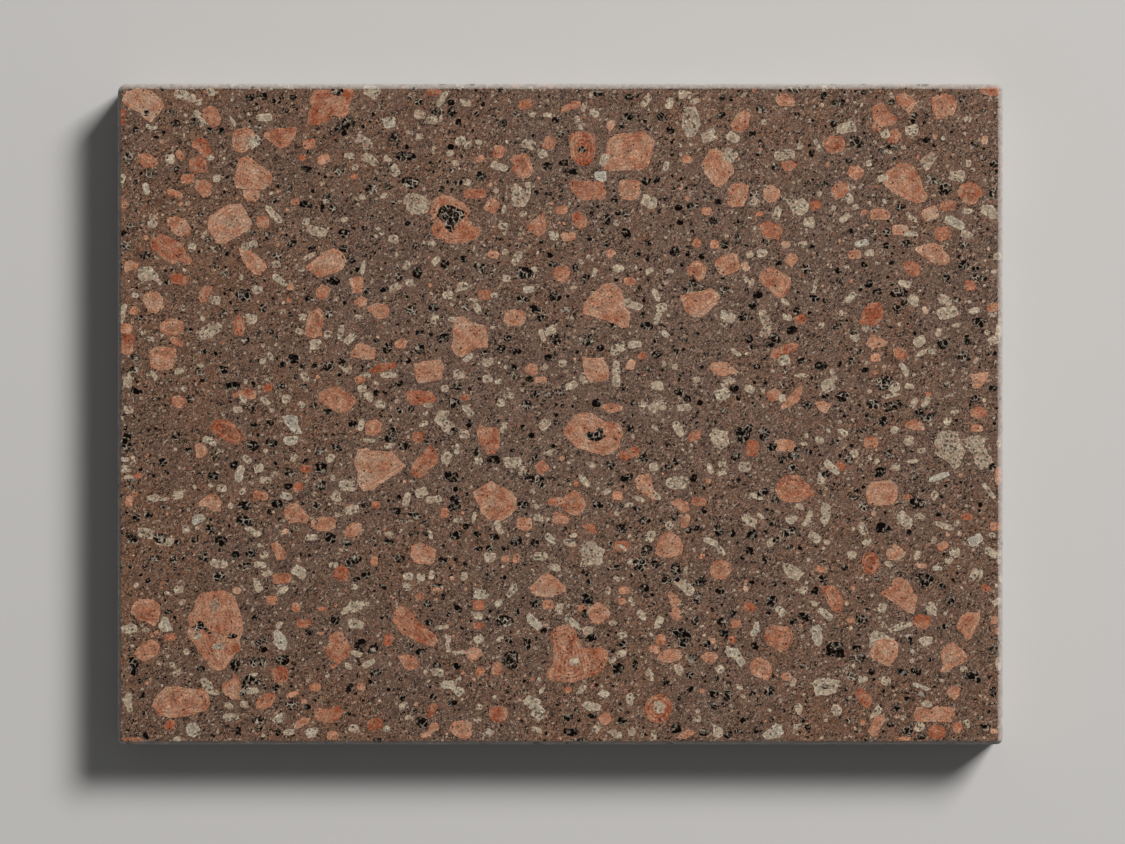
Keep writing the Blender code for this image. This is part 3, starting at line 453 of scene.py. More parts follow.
QUARTZ_GRAINS = """
.1: -769 642 15 14 0 -575 556 25 12 -2 -578 476 25 15 0 -540 468 19 9 8 -565 377 22 8 0 -129 660 16 15 0
 195 528 19 16 0 598 723 18 13 8 -745 65 32 17 0 -262 340 21 17 0 34 332 19 11 8 322 358 15 12 0 448
 270 19 17 0 218 135 21 16 0 525 190 23 16 1 692 100 19 11 1 -695 -25 15 12 0 -845 -82 17 11 0 -868
 -291 17 11 0 732 -258 29 23 0 -890 -449 19 10 -1 -675 -534 20 13 0 -574 -665 15 12 0 -942 -730 19 13
 -6 -402 -392 20 9 -2 382 -728 19 14 1 866 -392 17 13 0 982 -631 19 16 8 820 -732 17 14 0
.15: -455 -522 27 19 2 60 -420 29 20 -2 554 -460 25 17 -3 776 -586 24 16 -1 808 -584 21 17 0 562 -711 15
 13 0
.2: -704 718 19 16 0 -606 718 15 14 0 -795 643 16 13 0 -250 606 17 13 0 -28 500 19 10 0 85 729 23 14 0 228
 675 18 16 0 218 532 16 14 0 268 468 19 12 1 358 482 15 13 0 272 435 17 11 0 260 373 17 13 0 620 660 17
 15 0 690 730 19 10 0 832 622 17 13 0 -606 125 23 21 0 -635 63 19 12 0 -962 52 25 13 -1 -702 12 16 12 0
 -325 322 24 20 8 -18 340 17 12 0 -288 241 23 17 0 -120 172 17 14 0 -134 148 21 16 0 -99 142 18 15 0
 -45 218 17 14 0 -12 266 25 20 2 -108 105 17 14 0 260 368 21 18 6 435 245 17 15 0 196 200 31 16 -2 91
 150 17 15 0 288 35 17 15 0 395 58 19 14 0 82 25 20 17 0 915 338 25 17 1 942 330 15 13 0 700 295 19 15
 0 720 278 21 14 0 950 208 27 20 0 -788 -140 21 18 0 -542 -122 28 22 0 -975 -151 21 9 0 -618 -164 19 14
 0 -770 -288 25 22 0 -702 -316 23 19 0 -738 -320 19 16 3 -65 -48 15 12 0 -57 -99 17 14 0 -370 -220 19
 14 0 -236 -275 25 18 0 -100 -288 25 20 0 -58 -292 19 13 0 -186 -306 21 10 0 190 -100 19 17 0 302 -146
 16 16 0 151 -145 25 17 1 174 -216 17 11 -2 435 -273 24 21 7 490 -286 15 13 0 215 -340 19 13 -6 538 -80
 15 12 0 725 -132 23 21 0 602 -136 19 15 2 -675 -512 15 12 0 -511 -468 21 19 0 -648 -621 18 14 0 -640
 -722 18 10 7 -98 -450 18 10 8 -236 -572 19 14 0 -318 -539 19 15 0 -245 -656 18 16 6 -315 -700 25 22 0
 -415 -741 20 12 0 371 -498 20 18 0 334 -522 16 14 8 131 -578 24 22 6 349 -634 19 18 6 18 -688 22 15 0
 72 -685 20 11 0 140 -696 23 15 0 24 -722 30 17 -1 50 -739 19 9 0 262 -714 21 20 0 528 -470 17 13 0 762
 -665 19 16 2 789 -718 20 18 6 -490 638 14 12 0
.3: -674 721 16 16 0 -623 689 15 12 0 -963 645 15 13 0 -10 667 18 14 0 -352 585 40 19 0 -390 518 20 15 7
 -180 540 23 19 2 -490 410 27 17 -2 156 719 19 15 0 155 675 22 18 0 250 644 18 16 0 365 678 19 15 0 435
 635 17 14 3 30 550 19 15 0 108 442 23 14 8 132 456 15 12 0 150 410 22 19 -3 104 385 15 13 0 750 708 19
 12 0 570 378 15 12 0 740 382 17 13 0 -515 302 31 16 0 -658 187 15 12 0 -632 112 17 14 0 -584 110 15 13
 0 -558 108 16 13 0 -528 5 19 13 0 -400 282 21 12 0 -25 128 21 15 0 -70 79 19 12 1 -58 45 21 17 0 -28
 43 17 14 0 -1 48 17 15 0 -338 12 15 12 0 478 158 15 12 0 175 362 16 11 0 631 325 17 14 0 764 240 17 14
 0 576 262 23 16 0 536 236 15 12 0 665 186 17 12 0 867 159 25 20 0 602 40 17 11 0 980 58 19 14 0 815 5
 21 14 0 840 -5 17 13 0 -658 -20 17 12 0 -698 -72 25 22 0 -902 -109 19 16 0 -740 -116 19 17 0 -642 -204
 23 19 0 -962 -236 19 15 0 -978 -275 17 13 0 -522 -281 27 20 -1 -470 -23 19 13 0 -504 -78 17 12 0 -248
 -142 31 23 -2 -240 -170 17 12 0 -240 -192 21 15 0 -240 -209 27 20 1 -214 -255 15 12 0 -189 -273 17 14
 0 -441 -366 19 15 0 159 -34 17 15 0 412 -48 36 28 0 462 -46 25 23 6 245 -118 19 14 0 460 -178 27 15 3
 139 -260 23 20 -6 292 -265 17 12 0 430 -310 19 17 0 179 -351 21 12 0 130 -348 17 12 1 262 -352 25 21 8
 265 -372 18 14 6 318 -380 25 16 0 502 -102 17 15 6 732 -16 20 19 0 564 -86 15 13 0 742 -88 19 16 7 520
 -302 18 10 2 -968 -572 36 20 9 -630 -558 27 21 0 -732 -718 19 13 8 -302 -430 17 15 0 -232 -442 19 14
 -2 -58 -430 22 16 0 -116 -514 16 12 0 -75 -520 27 14 8 -280 -570 17 13 0 -419 -588 22 15 2 -289 -642
 17 12 3 190 -395 21 18 0 320 -382 19 12 0 362 -402 19 13 0 479 -425 25 23 0 298 -555 19 18 0 70 -508
 25 15 0 294 -592 16 14 0 381 -638 24 17 8 404 -720 18 10 0 685 -466 26 18 -3 888 -424 19 16 3 874 -482
 16 13 3 672 -530 19 11 0 820 -636 19 13 3 -502 650 20 15 2
.35: -112 -558 40 30 8
.4: -248 708 16 15 0 140 655 15 12 0 122 488 17 14 0 295 472 17 14 0 802 672 23 14 8 872 512 32 24 0 740
 412 20 13 8 -765 100 23 17 0 -82 320 35 25 -1 -85 261 25 16 0 -365 70 17 14 0 -76 21 21 19 3 -418 48
 15 12 0 -475 350 19 14 0 -220 352 17 14 0 415 220 23 15 0 445 108 17 13 0 269 50 23 16 0 495 342 16 12
 0 781 274 20 15 8 782 252 17 14 0 640 40 34 19 0 940 35 21 15 2 -984 -64 40 19 8 -655 -66 25 16 0 -510
 -75 18 12 0 -542 -162 23 19 7 -715 -208 29 18 0 -715 -243 37 19 0 -795 -260 21 15 0 -385 -53 25 20 0
 -355 -73 23 17 0 -242 -39 18 15 6 -189 -88 17 14 8 -149 -279 21 15 0 -366 -328 21 18 0 -266 -332 19 16
 0 -480 -343 18 10 2 -125 -305 16 12 0 480 -75 21 17 0 262 -108 15 12 8 85 -206 25 13 0 325 -222 22 8 1
 192 -242 22 17 0 312 -259 17 15 0 390 -272 17 13 0 464 -332 16 13 8 240 -378 21 15 2 60 -362 17 12 0
 528 -121 27 16 0 655 -102 21 17 6 595 -374 18 15 0 -738 -570 24 21 6 -280 -389 24 9 0 312 -418 26 16 8
 392 -452 18 12 6 442 -526 17 16 0 142 -524 18 16 8 170 -570 20 13 8 240 -610 16 11 0 475 -630 22 20 0
 325 -722 19 17 0 578 -402 19 14 3 750 -705 16 11 0 828 -385 34 12 0
.5: -648 485 20 12 1 -800 395 16 12 0 -232 525 19 15 0 8 570 19 15 0 348 439 19 17 0 149 454 16 13 0 200
 388 15 12 0 984 568 18 15 0 655 574 17 12 0 784 388 20 13 0 -718 270 31 28 0 -338 235 23 18 0 -265 172
 23 20 0 -392 150 23 19 7 -319 148 23 19 8 -55 238 27 17 -1 -12 170 25 22 0 -242 25 23 20 7 490 172 23
 20 0 762 275 23 20 0 922 168 21 16 8 592 110 25 19 0 -830 -285 17 13 0 -908 -282 25 22 0 -715 -345 25
 15 0 -378 -35 17 12 0 -150 -103 27 18 0 -45 -159 20 13 0 -330 -230 31 13 -1 -485 -294 21 14 0 -390
 -290 21 12 1 -160 -304 18 13 0 -462 -375 18 11 0 428 -32 20 15 0 398 -96 21 15 2 488 -195 18 13 0 182
 -336 31 18 0 804 -144 15 12 0 810 -203 37 22 0 520 -266 31 19 2 645 -348 16 13 0 825 -372 37 19 0 -745
 -504 21 11 0 -815 -578 17 13 0 -686 -520 16 12 6 -298 -472 17 13 6 -38 -492 15 12 3 -424 -532 23 19 6
 -479 -622 21 14 6 55 -453 19 13 8 306 -470 20 15 8 965 -710 19 15 0 604 -620 27 8 0
.6: -516 466 20 16 0 -340 525 35 25 -2 -30 562 21 18 0 48 600 18 13 0 372 382 18 16 0 672 618 30 23 0 772
 469 21 15 0 915 385 19 13 0 -525 228 19 15 6 -584 63 15 13 0 -560 20 16 13 6 -182 332 27 20 0 -318 184
 19 13 0 -172 138 16 12 0 58 308 20 15 6 952 310 30 12 -1 916 130 25 21 0 660 120 19 15 0 735 70 36 27
 0 -552 -208 22 17 7 -968 -285 20 18 0 -878 -330 21 16 7 -920 -328 21 14 0 -775 -368 25 20 0 -84 -206
 29 15 0 -468 -332 33 18 2 -170 -368 17 14 8 196 -310 24 22 7 530 -95 25 16 0 665 -190 18 13 0 -685
 -695 25 17 0 -128 -470 41 24 0 -342 -526 19 12 0 366 -470 19 17 0 349 -664 19 16 0 662 -595 23 15 0
.7: -940 683 15 13 0 -663 405 19 15 8 -482 660 36 24 3 -320 708 21 13 0 -280 687 36 15 0 -378 628 25 19 2
 -270 510 16 13 0 -490 375 20 16 0 452 590 15 12 0 912 715 17 14 0 -942 360 21 16 0 -642 358 19 15 0
 -570 260 19 14 0 -968 100 20 16 0 -840 35 20 17 0 -810 142 17 12 0 -365 8 15 12 0 -495 118 20 15 -4
 120 200 15 12 0 60 168 31 26 0 435 152 17 13 0 900 260 16 12 0 754 18 40 22 1 712 22 30 20 0 690 340
 17 13 0 -872 -50 23 17 8 -548 -84 19 15 0 -810 -322 23 20 0 -62 -146 48 18 -1 115 -115 21 16 8 830 -8
 25 14 0 690 -36 23 13 2 980 -120 18 15 6 -570 -494 19 17 0 -609 -662 27 20 0 790 -509 19 17 0
.8: -880 685 21 13 0 -687 650 17 12 3 -980 583 28 22 7 -618 510 19 16 0 -526 490 26 20 2 -985 380 19 17 0
 -975 425 18 16 0 -506 732 24 19 1 -428 510 30 18 -1 -378 482 18 12 0 455 692 22 17 0 440 500 19 16 0
 538 678 15 12 0 755 605 27 13 0 938 610 21 16 3 980 500 24 17 8 -762 318 17 14 0 -765 228 19 15 8 -675
 240 19 15 0 -715 165 18 15 0 -525 108 25 20 0 -965 128 20 17 0 -818 95 21 18 0 -438 280 19 14 0 12 238
 19 14 0 558 330 23 18 8 634 302 20 17 0 -615 -132 27 17 0 -935 -228 20 17 0 625 -62 18 13 0 -685 -562
 34 20 0 629 706 32 16 1
.85: 676 -554 32 19 0
.9: -828 663 22 18 0 -928 547 29 21 0 532 736 30 15 0 845 533 31 21 -1 560 522 19 14 0 -105 88 21 15 8
 -215 242 21 14 0 -160 318 25 10 -4 372 282 25 18 0 715 192 25 9 2 -305 -272 25 9 0 982 -535 23 21 0
 -503 553 24 21 0
.95: 260 -234 21 15 6
"""


class Side(Enum):
    """A side of the slab, as its outward normal."""

    RIGHT = (1.0, 0.0)
    LEFT = (-1.0, 0.0)
    BACK = (0.0, 1.0)
    FRONT = (0.0, -1.0)

    @property
    def normal(self) -> np.ndarray:
        """The outward normal."""
        return np.array(self.value)

    @property
    def along(self) -> np.ndarray:
        """The direction along the side, towards +X or +Y."""
        return np.abs(self.normal[::-1])


@dataclass(frozen=True)
class Chip:
    """A chip broken out of an edge, in millimetres.

    Attributes:
        place: Its place along the side, from the slab's middle.
        reach_in: How far it reaches in from the wall.
        reach_over: How far it reaches down from the face or up from the back.
    """

    side: Side
    place: float
    length: float
    reach_in: float
    reach_over: float


def chips(rows: dict[Side, tuple[Sizes, ...]]) -> list[Chip]:
    """Chips from each side's rows of place, length, reach in and reach over."""
    return [Chip(side, *sizes) for side, of_side in rows.items() for sizes in of_side]


# The chips are those of the CAD part
FACE_CHIPS = chips(
    {
        Side.BACK: (
            (-96.6, 1.1, 0.4, 1.2), (-70.8, 0.9, 0.3, 1.4), (-25.6, 1.2, 0.4, 1.1),
            (2.3, 1.3, 0.5, 1.5), (7.8, 2.0, 0.6, 1.4), (11.3, 1.5, 0.3, 1.0), (25.6, 3.4, 0.4, 1.3),
            (46.9, 2.6, 0.3, 1.2), (54.5, 1.8, 0.5, 1.2),
        ),
        Side.RIGHT: (
            (62.2, 1.6, 0.4, 1.2), (29.5, 1.5, 0.6, 0.9), (22.0, 1.8, 0.4, 1.3), (-2.7, 1.6, 0.6, 1.0),
            (-17.8, 1.3, 0.4, 1.2), (-27.8, 1.4, 0.5, 1.2), (-40.3, 2.4, 0.4, 1.4),
            (-50.5, 1.3, 0.4, 1.3),
        ),
        Side.FRONT: (
            (-76.0, 1.6, 0.4, 1.2), (-52.4, 2.2, 0.5, 1.3), (-26.2, 3.4, 0.4, 1.3),
            (-16.0, 2.6, 0.4, 1.2), (5.6, 3.8, 0.5, 1.4), (17.5, 1.6, 0.3, 1.2), (46.0, 1.8, 0.3, 1.1),
        ),
        Side.LEFT: (
            (30.2, 1.5, 0.4, 1.2), (-0.5, 1.8, 0.4, 1.3), (-26.0, 1.4, 0.3, 1.2),
            (-35.0, 1.3, 0.3, 1.2),
        ),
    }
)
BACK_CHIPS = chips(
    {
        Side.BACK: (
            (-62.0, 4.2, 0.9, 1.2), (33.0, 2.8, 0.6, 1.0), (83.0, 3.6, 0.8, 1.2),
        ),
        Side.RIGHT: (
            (44.0, 3.4, 0.8, 1.1), (-21.0, 4.8, 1.0, 1.4),
        ),
        Side.FRONT: (
            (-82.0, 3.8, 0.8, 1.1), (-11.0, 5.4, 1.1, 1.5), (59.0, 3.0, 0.7, 1.0),
        ),
        Side.LEFT: (
            (48.0, 4.0, 0.9, 1.2), (-13.0, 3.0, 0.7, 1.0), (-56.0, 4.6, 0.9, 1.3),
        ),
    }
)
# Each row: the corner's signs in X and Y, the chip's middle in from the two sides, its
# half-lengths along X and Y, and its reach down
CORNER_CHIPS = (
    (1, -1, 1.1, 0.1, 1.5, 0.75, 2.2),
    (-1, -1, 1.0, 0.1, 1.2, 0.60, 1.8),
)
# A chip is the bite of an ellipsoid whose middle is this share of its half-size off the stone
CHIP_STANDOFF = 0.35


class Mineral(IntEnum):
    """What a patch of the stone is made of, in the order of the mesh's material slots."""

    GROUNDMASS = 0
    FELDSPAR = 1
    PLAGIOCLASE = 2
    QUARTZ = 3


@dataclass(frozen=True)
class Habit:
    """How a mineral's grains are shaped.

    Attributes:
        squareness: Exponent of the grain's outline, 2 for an ellipse and more for a box.
        raggedness: How far the outline wanders, as a share of its radius.
        roughness: How far a read outline is roughened, in millimetres.
        fullness: How much larger a grain is than the clear middle that was read.
    """

    squareness: float
    raggedness: float
    roughness: float
    fullness: float


HABITS = {
    Mineral.FELDSPAR: Habit(squareness=5.0, raggedness=0.065, roughness=0.06, fullness=0.99),
    Mineral.PLAGIOCLASE: Habit(squareness=6.0, raggedness=0.13, roughness=0.10, fullness=1.02),
    Mineral.QUARTZ: Habit(squareness=2.6, raggedness=0.15, roughness=0.09, fullness=1.12),
}


def turned(points: np.ndarray, angle: float) -> np.ndarray:
    """Points of the plan turned about the origin by an angle in radians."""
    cosine, sine = math.cos(angle), math.sin(angle)
    return points @ np.array(((cosine, sine), (-sine, cosine)))


def anticlockwise(outline: np.ndarray) -> np.ndarray:
    """An outline in anticlockwise order, which the triangulation's filling needs."""
    following = np.roll(outline, -1, axis=0)
    twice_area = (outline[:, 0] * following[:, 1] - outline[:, 1] * following[:, 0]).sum()
    return outline if twice_area > 0 else outline[::-1]


def subdivided(outline: np.ndarray, step: float) -> np.ndarray:
    """A closed outline with its corners kept and its edges cut into equal steps.

    Args:
        outline: Corners, one row each.
        step: Length of a step to aim for, in millimetres.

    Returns:
        The corners and the points between them.
    """
    pieces = []
    for corner, following in zip(outline, np.roll(outline, -1, axis=0)):
        count = max(1, int(round(np.hypot(*(following - corner)) / step)))
        pieces.append(corner + np.arange(count)[:, None] / count * (following - corner))
    return np.vstack(pieces)


def resampled(outline: np.ndarray, step: float) -> np.ndarray:
    """A closed outline with its points spaced evenly.

    Args:
        outline: Corners, one row each.
        step: Spacing to aim for, in millimetres.

    Returns:
        Points at equal lengths along the outline, at least six of them.
    """
    closed = np.vstack((outline, outline[:1]))
    lengths = np.hypot(*np.diff(closed, axis=0).T)
    travelled = np.concatenate(((0.0,), np.cumsum(lengths)))
    count = max(6, int(round(travelled[-1] / step)))
    places = np.linspace(0.0, travelled[-1], count, endpoint=False)
    return np.column_stack([np.interp(places, travelled, closed[:, k]) for k in (0, 1)])


@dataclass(frozen=True)
class Crystal:
    """One crystal as an outline on the plan.

    Attributes:
        tone: Where its colour lies between the mineral's extremes, 0 to 1.
        zoning: How strongly its growth rings show, 0 to 1.
        turn: Direction of its length, in radians.
        outline: One row a point, in millimetres.
    """

    mineral: Mineral
    tone: float
    zoning: float
    turn: float
    outline: np.ndarray

    @property
    def middle(self) -> np.ndarray:
        """The mean of the outline's points."""
        return self.outline.mean(axis=0)

    @property
    def reach(self) -> float:
        """The distance from the middle to the farthest point of the outline."""
        return float(np.hypot(*(self.outline - self.middle).T).max())

    def roughened(self, step: float, rng: np.random.Generator) -> Crystal:
        """The crystal with every point of a finer outline moved along its normal at random.

        Args:
            step: Spacing of the points, in millimetres.
            rng: Source of the random lengths.

        Returns:
            The uneven crystal.
        """
        points = subdivided(self.outline, step)
        tangents = np.roll(points, -1, axis=0) - np.roll(points, 1, axis=0)
        normals = np.column_stack((tangents[:, 1], -tangents[:, 0]))
        normals /= np.maximum(np.hypot(*normals.T), 1e-6)[:, None]
        wander = HABITS[self.mineral].roughness * rng.normal(0.0, 1.0, len(points))
        points += wander[:, None] * normals
        return replace(self, outline=points)

    def placed(self, place: np.ndarray, angle: float, step: float) -> Crystal:
        """A copy turned by an angle, with its middle at a place and a coarser outline."""
        points = turned(self.outline - self.middle, angle) + place
        return replace(self, turn=self.turn + angle, outline=resampled(points, step))

    def depth_of(self, points: np.ndarray) -> np.ndarray:
        """How deep points lie inside the crystal.

        The distance to an edge is that to its line's nearest point, held between its ends.

        Args:
            points: Points of the plan.

        Returns:
            The distance from each point to the nearest edge of the outline.
        """
        start = self.outline[None, :, :]
        along = np.roll(self.outline, -1, axis=0)[None, :, :] - start
        gap = points[:, None, :] - start
        share = (gap * along).sum(axis=2) / np.maximum((along**2).sum(axis=2), 1e-12)
        nearest = gap - np.clip(share, 0.0, 1.0)[:, :, None] * along
        return np.sqrt((nearest**2).sum(axis=2).min(axis=1))


# Points to each millimetre of a grain's length and width, the fewest and the most points that
# it gets, the waves round its edge with the limits of their random strength and phase, and
# how strongly its growth rings show
GRAIN_FINENESS = 2.9
GRAIN_POINTS = (7, 28)
GRAIN_WAVES = (2, 3, 5)
GRAIN_SWINGS = (0.2, 1.0)
GRAIN_PHASES = (0.0, 6.3)
GRAIN_ZONING = 0.15


def grain(
    mineral: Mineral, sizes: np.ndarray, turn: float, tone: float, rng: np.random.Generator
) -> Crystal:
    """A grain with a ragged outline.

    Its outline is the superellipse |x / half length| ^ n + |y / half width| ^ n = 1, with the
    radius at each bearing multiplied by one plus a few random waves.

    Args:
        mineral: What the grain is made of.
        sizes: Its middle's x and y, its length and its width, in millimetres.
        turn: The turn of its length, in degrees.
        tone: Its tone.
        rng: Source of the waves.

    Returns:
        The grain as a crystal.
    """
    x, y, length, width = sizes
    habit = HABITS[mineral]
    count = int(np.clip(round(GRAIN_FINENESS * (length + width)), *GRAIN_POINTS))
    angle = np.linspace(0.0, 2 * math.pi, count, endpoint=False) + rng.uniform(0, 1)
    cosine, sine = np.cos(angle), np.sin(angle)
    power = habit.squareness
    radius = (np.abs(cosine) / (length / 2)) ** power + (np.abs(sine) / (width / 2)) ** power
    radius = habit.fullness * radius ** (-1 / power)
    for wave in GRAIN_WAVES:
        swing = habit.raggedness * rng.uniform(*GRAIN_SWINGS) / math.sqrt(wave / 2)
        radius = radius * (1 + swing * np.sin(wave * angle + rng.uniform(*GRAIN_PHASES)))
    points = np.column_stack((radius * cosine, radius * sine))
    bearing = math.radians(turn)
    return Crystal(mineral, tone, GRAIN_ZONING, bearing, turned(points, bearing) + (x, y))


@dataclass
class CrystalRecord:
    """Reads the tables of the honed face's crystals.

    Attributes:
        rng: Source of the crystals' uneven edges.
        step: Spacing of the points of a read outline, in millimetres.
    """

    rng: np.random.Generator
    step: float = 0.5

    def lines(self, table: str) -> list[tuple[list[float], np.ndarray]]:
        """A table's lines, each as the numbers before the colon and those after it."""
        lines = []
        for line in table.replace("\n ", " ").strip().splitlines():
            heading, readings = line.split(":")
            tones = [float(number) for number in heading.split()]
            lines.append((tones, np.array(readings.split(), float)))
        return lines

    def outlines(self, table: str, mineral: Mineral) -> list[Crystal]:
        """Crystals from a table of outlines.

        Args:
            table: The table.
            mineral: What its crystals are made of.

        Returns:
            The crystals, each turned along the direction in which it spreads most.
        """
        crystals = []
        for (tone, *zoning), readings in self.lines(table):
            outline = anticlockwise(readings.reshape(-1, 2) * READING_UNIT)
            spread = np.linalg.svd(outline - outline.mean(axis=0))[2][0]
            crystal = Crystal(mineral, tone, sum(zoning), math.atan2(spread[1], spread[0]), outline)
            crystals.append(crystal.roughened(self.step, self.rng))
        return crystals

    def grains(self, table: str, mineral: Mineral) -> list[Crystal]:
        """Crystals from a table of grains.

        Args:
            table: The table.
            mineral: What its grains are made of.

        Returns:
            The grains.
        """
        crystals = []
        for (tone,), readings in self.lines(table):
            for *sizes, turn in readings.reshape(-1, 5):
                sizes = np.array(sizes) * READING_UNIT
                crystals.append(grain(mineral, sizes, TURN_UNIT * turn, tone, self.rng))
        return crystals

    def read(self) -> list[Crystal]:
        """Every crystal of the honed face, the ones that lie over others last."""
        crystals = []
        for mineral, outlines, grains in (
            (Mineral.FELDSPAR, FELDSPAR_OUTLINES, FELDSPAR_GRAINS),
            (Mineral.PLAGIOCLASE, PLAGIOCLASE_OUTLINES, PLAGIOCLASE_GRAINS),
            (Mineral.QUARTZ, QUARTZ_OUTLINES, QUARTZ_GRAINS),
        ):
            crystals += self.outlines(outlines, mineral) + self.grains(grains, mineral)
        return crystals


@dataclass(frozen=True)
class SlabForm:
    """The slab's sizes, and the fold from the flat plan to its skin, in millimetres.

    Attributes:
        length, width, thickness: Sizes along X, Y and Z.
        run_right, run_left, run_back, run_front: How far the ground arris runs in from a side.
        arris_drop: How far the arris reaches down from the face.
        arris_span: Its length when unfolded.
        arris_power: How round the arris is, 1 for a flat bevel and more for a rounded one.
        back_arris: Size of the broken edge of the back.
        back_span: Its length when unfolded.
        radii: Corner radii: right-back, left-back, left-front, right-front.
        corner_steps: Steps round each corner.
        wander: How far the hand-ground arris strays from its line.
        waves: Height, length and phase of each wave in which it strays.
        calm_from: How far in from the face's edge the straying has died away.
    """

    length: float = CAD_SIZES[0]
    width: float = CAD_SIZES[1]
    thickness: float = CAD_SIZES[2]
    run_right: float = 1.25
    run_left: float = 0.85
    run_back: float = 1.25
    run_front: float = 0.85
    arris_drop: float = 1.6
    arris_span: float = 2.0
    arris_power: float = 2.25
    back_arris: float = 0.4
    back_span: float = 0.57
    radii: tuple[float, float, float, float] = (1.5, 2.1, 1.6, 1.4)
    corner_steps: int = 8
    wander: float = 0.10
    waves: tuple[tuple[float, float, float], ...] = ((1.0, 3.1, 1.3), (0.8, 7.7, 4.0), (0.6, 1.37, 0.4))
    calm_from: float = 1.6

    @property
    def side_span(self) -> float:
        """Height of the sawn side between its two edges."""
        return self.thickness - self.arris_drop - self.back_arris

    @property
    def span(self) -> float:
        """Length of the unfolded skin from the face's edge to the back."""
        return self.arris_span + self.side_span + self.back_span

    @property
    def half(self) -> np.ndarray:
        """Half of the length and half of the width."""
        return np.array((self.length, self.width)) / 2

    @property
    def side_shares(self) -> np.ndarray:
        """Each side's share of the way round the slab."""
        lengths = np.array([side.along @ self.half for side in Side])
        return lengths / lengths.sum()

    def wall(self, side: Side) -> float:
        """Distance of a side's wall from the slab's middle."""
        return float(np.abs(side.normal) @ self.half)

    def face_edge(self, side: Side) -> float:
        """Distance of the honed face's edge from the slab's middle."""
        return self.wall(side) - self.run(side.normal[None])[0]

    def run(self, normals: np.ndarray) -> np.ndarray:
        """The arris's run where the wall faces each way, blended round a corner."""
        across = np.where(normals[:, 0] > 0, self.run_right, self.run_left)
        along = np.where(normals[:, 1] > 0, self.run_back, self.run_front)
        return normals[:, 0] ** 2 * across + normals[:, 1] ** 2 * along

    def edge_frame(self, points: np.ndarray) -> tuple[np.ndarray, np.ndarray, np.ndarray]:
        """Where points of the plan lie from the face's edge.

        By a side, the distance is measured straight across it. In a corner it is measured
        along the ray from the corner's centre.

        Args:
            points: Points of the plan.

        Returns:
            The distance outside the face's edge, the outward normal and the arris's run.
        """
        sign = np.where(points >= 0, 1.0, -1.0)
        right, back = sign[:, 0] > 0, sign[:, 1] > 0
        back_radius = np.where(right, self.radii[0], self.radii[1])
        front_radius = np.where(right, self.radii[3], self.radii[2])
        radius = np.where(back, back_radius, front_radius)
        run_x = np.where(right, self.run_right, self.run_left)
        run_y = np.where(back, self.run_back, self.run_front)
        local = points * sign - (self.half - radius[:, None])
        beyond = local - (radius[:, None] - np.column_stack((run_x, run_y)))
        distance = np.hypot(*local.T)
        corner = (local > 0).all(axis=1)
        by_x = beyond[:, 0] >= beyond[:, 1]
        normal = np.column_stack((by_x, ~by_x)).astype(float)
        normal = np.where(corner[:, None], local / np.maximum(distance, 1e-9)[:, None], normal)
        run = self.run(normal * sign)
        outside = np.where(corner, distance - (radius - run), beyond.max(axis=1))
        return outside, normal * sign, run

    def folded(self, points: np.ndarray) -> np.ndarray:
        """The plan folded round the slab.

        With s the distance outside the face's edge as a share of the arris's span, the skin
        stands out by run * (1 - (1 - s) ^ power) and drops by arris_drop * s. Below the
        arris it runs straight down, and the lower edge turns in under 45 degrees.

        Args:
            points: Points of the plan.

        Returns:
            Points in space, in millimetres.
        """
        outside, normal, run = self.edge_frame(points)
        beyond = np.maximum(outside, 0.0)
        share = np.clip(beyond / self.arris_span, 0.0, 1.0)
        down_side = np.clip(beyond - self.arris_span, 0.0, self.side_span)
        tuck = np.clip((beyond - self.arris_span - self.side_span) / self.back_span, 0.0, 1.0)
        out = run * (1 - (1 - share) ** self.arris_power) - tuck * self.back_arris
        down = self.arris_drop * share + down_side + tuck * self.back_arris
        base = points - beyond[:, None] * normal
        calm = np.clip(1 + outside / self.calm_from, 0.0, 1.0) * (1 - share) ** 2
        stray = self.stray(base, normal) * calm
        place = base + (out + stray)[:, None] * normal
        return np.column_stack((place, self.thickness - down))

    def stray(self, base: np.ndarray, normal: np.ndarray) -> np.ndarray:
        """How far the arris strays from its line: a sum of slow waves along each side.

        Args:
            base: Points of the face's edge.
            normal: Outward normals there.

        Returns:
            The outward shift of each point, none round the corners.
        """
        along = base[:, 0] * normal[:, 1] - base[:, 1] * normal[:, 0]
        swing = sum(height * np.sin(along / length + phase) for height, length, phase in self.waves)
        highest = sum(height for height, _, _ in self.waves)
        return self.wander * swing / highest * (np.abs(normal).max(axis=1) > 0.999)

    def ring(self, outside: float, spacing: float) -> np.ndarray:
        """The closed line of the plan at one distance outside the face's edge.

        Args:
            outside: The distance, in millimetres.
            spacing: Spacing of the points along the sides.

        Returns:
            Its points, anticlockwise.
        """
        signs = np.array(((1, 1), (-1, 1), (-1, -1), (1, -1)), dtype=float)
        corners = []
        for quarter, (sign, radius) in enumerate(zip(signs, self.radii)):
            angle = math.pi / 2 * (quarter + np.linspace(0.0, 1.0, self.corner_steps + 1))
            normal = np.column_stack((np.cos(angle), np.sin(angle)))
            centre = sign * (self.half - radius)
            corners.append(centre + (radius - self.run(normal) + outside)[:, None] * normal)
        line = []
        for corner, following in zip(corners, corners[1:] + corners[:1]):
            gap = following[0] - corner[-1]
            count = int(np.hypot(*gap) / spacing)
            share = np.arange(1, count)[:, None] / count
            line.extend((corner, corner[-1] + share * gap))
        return np.vstack(line)


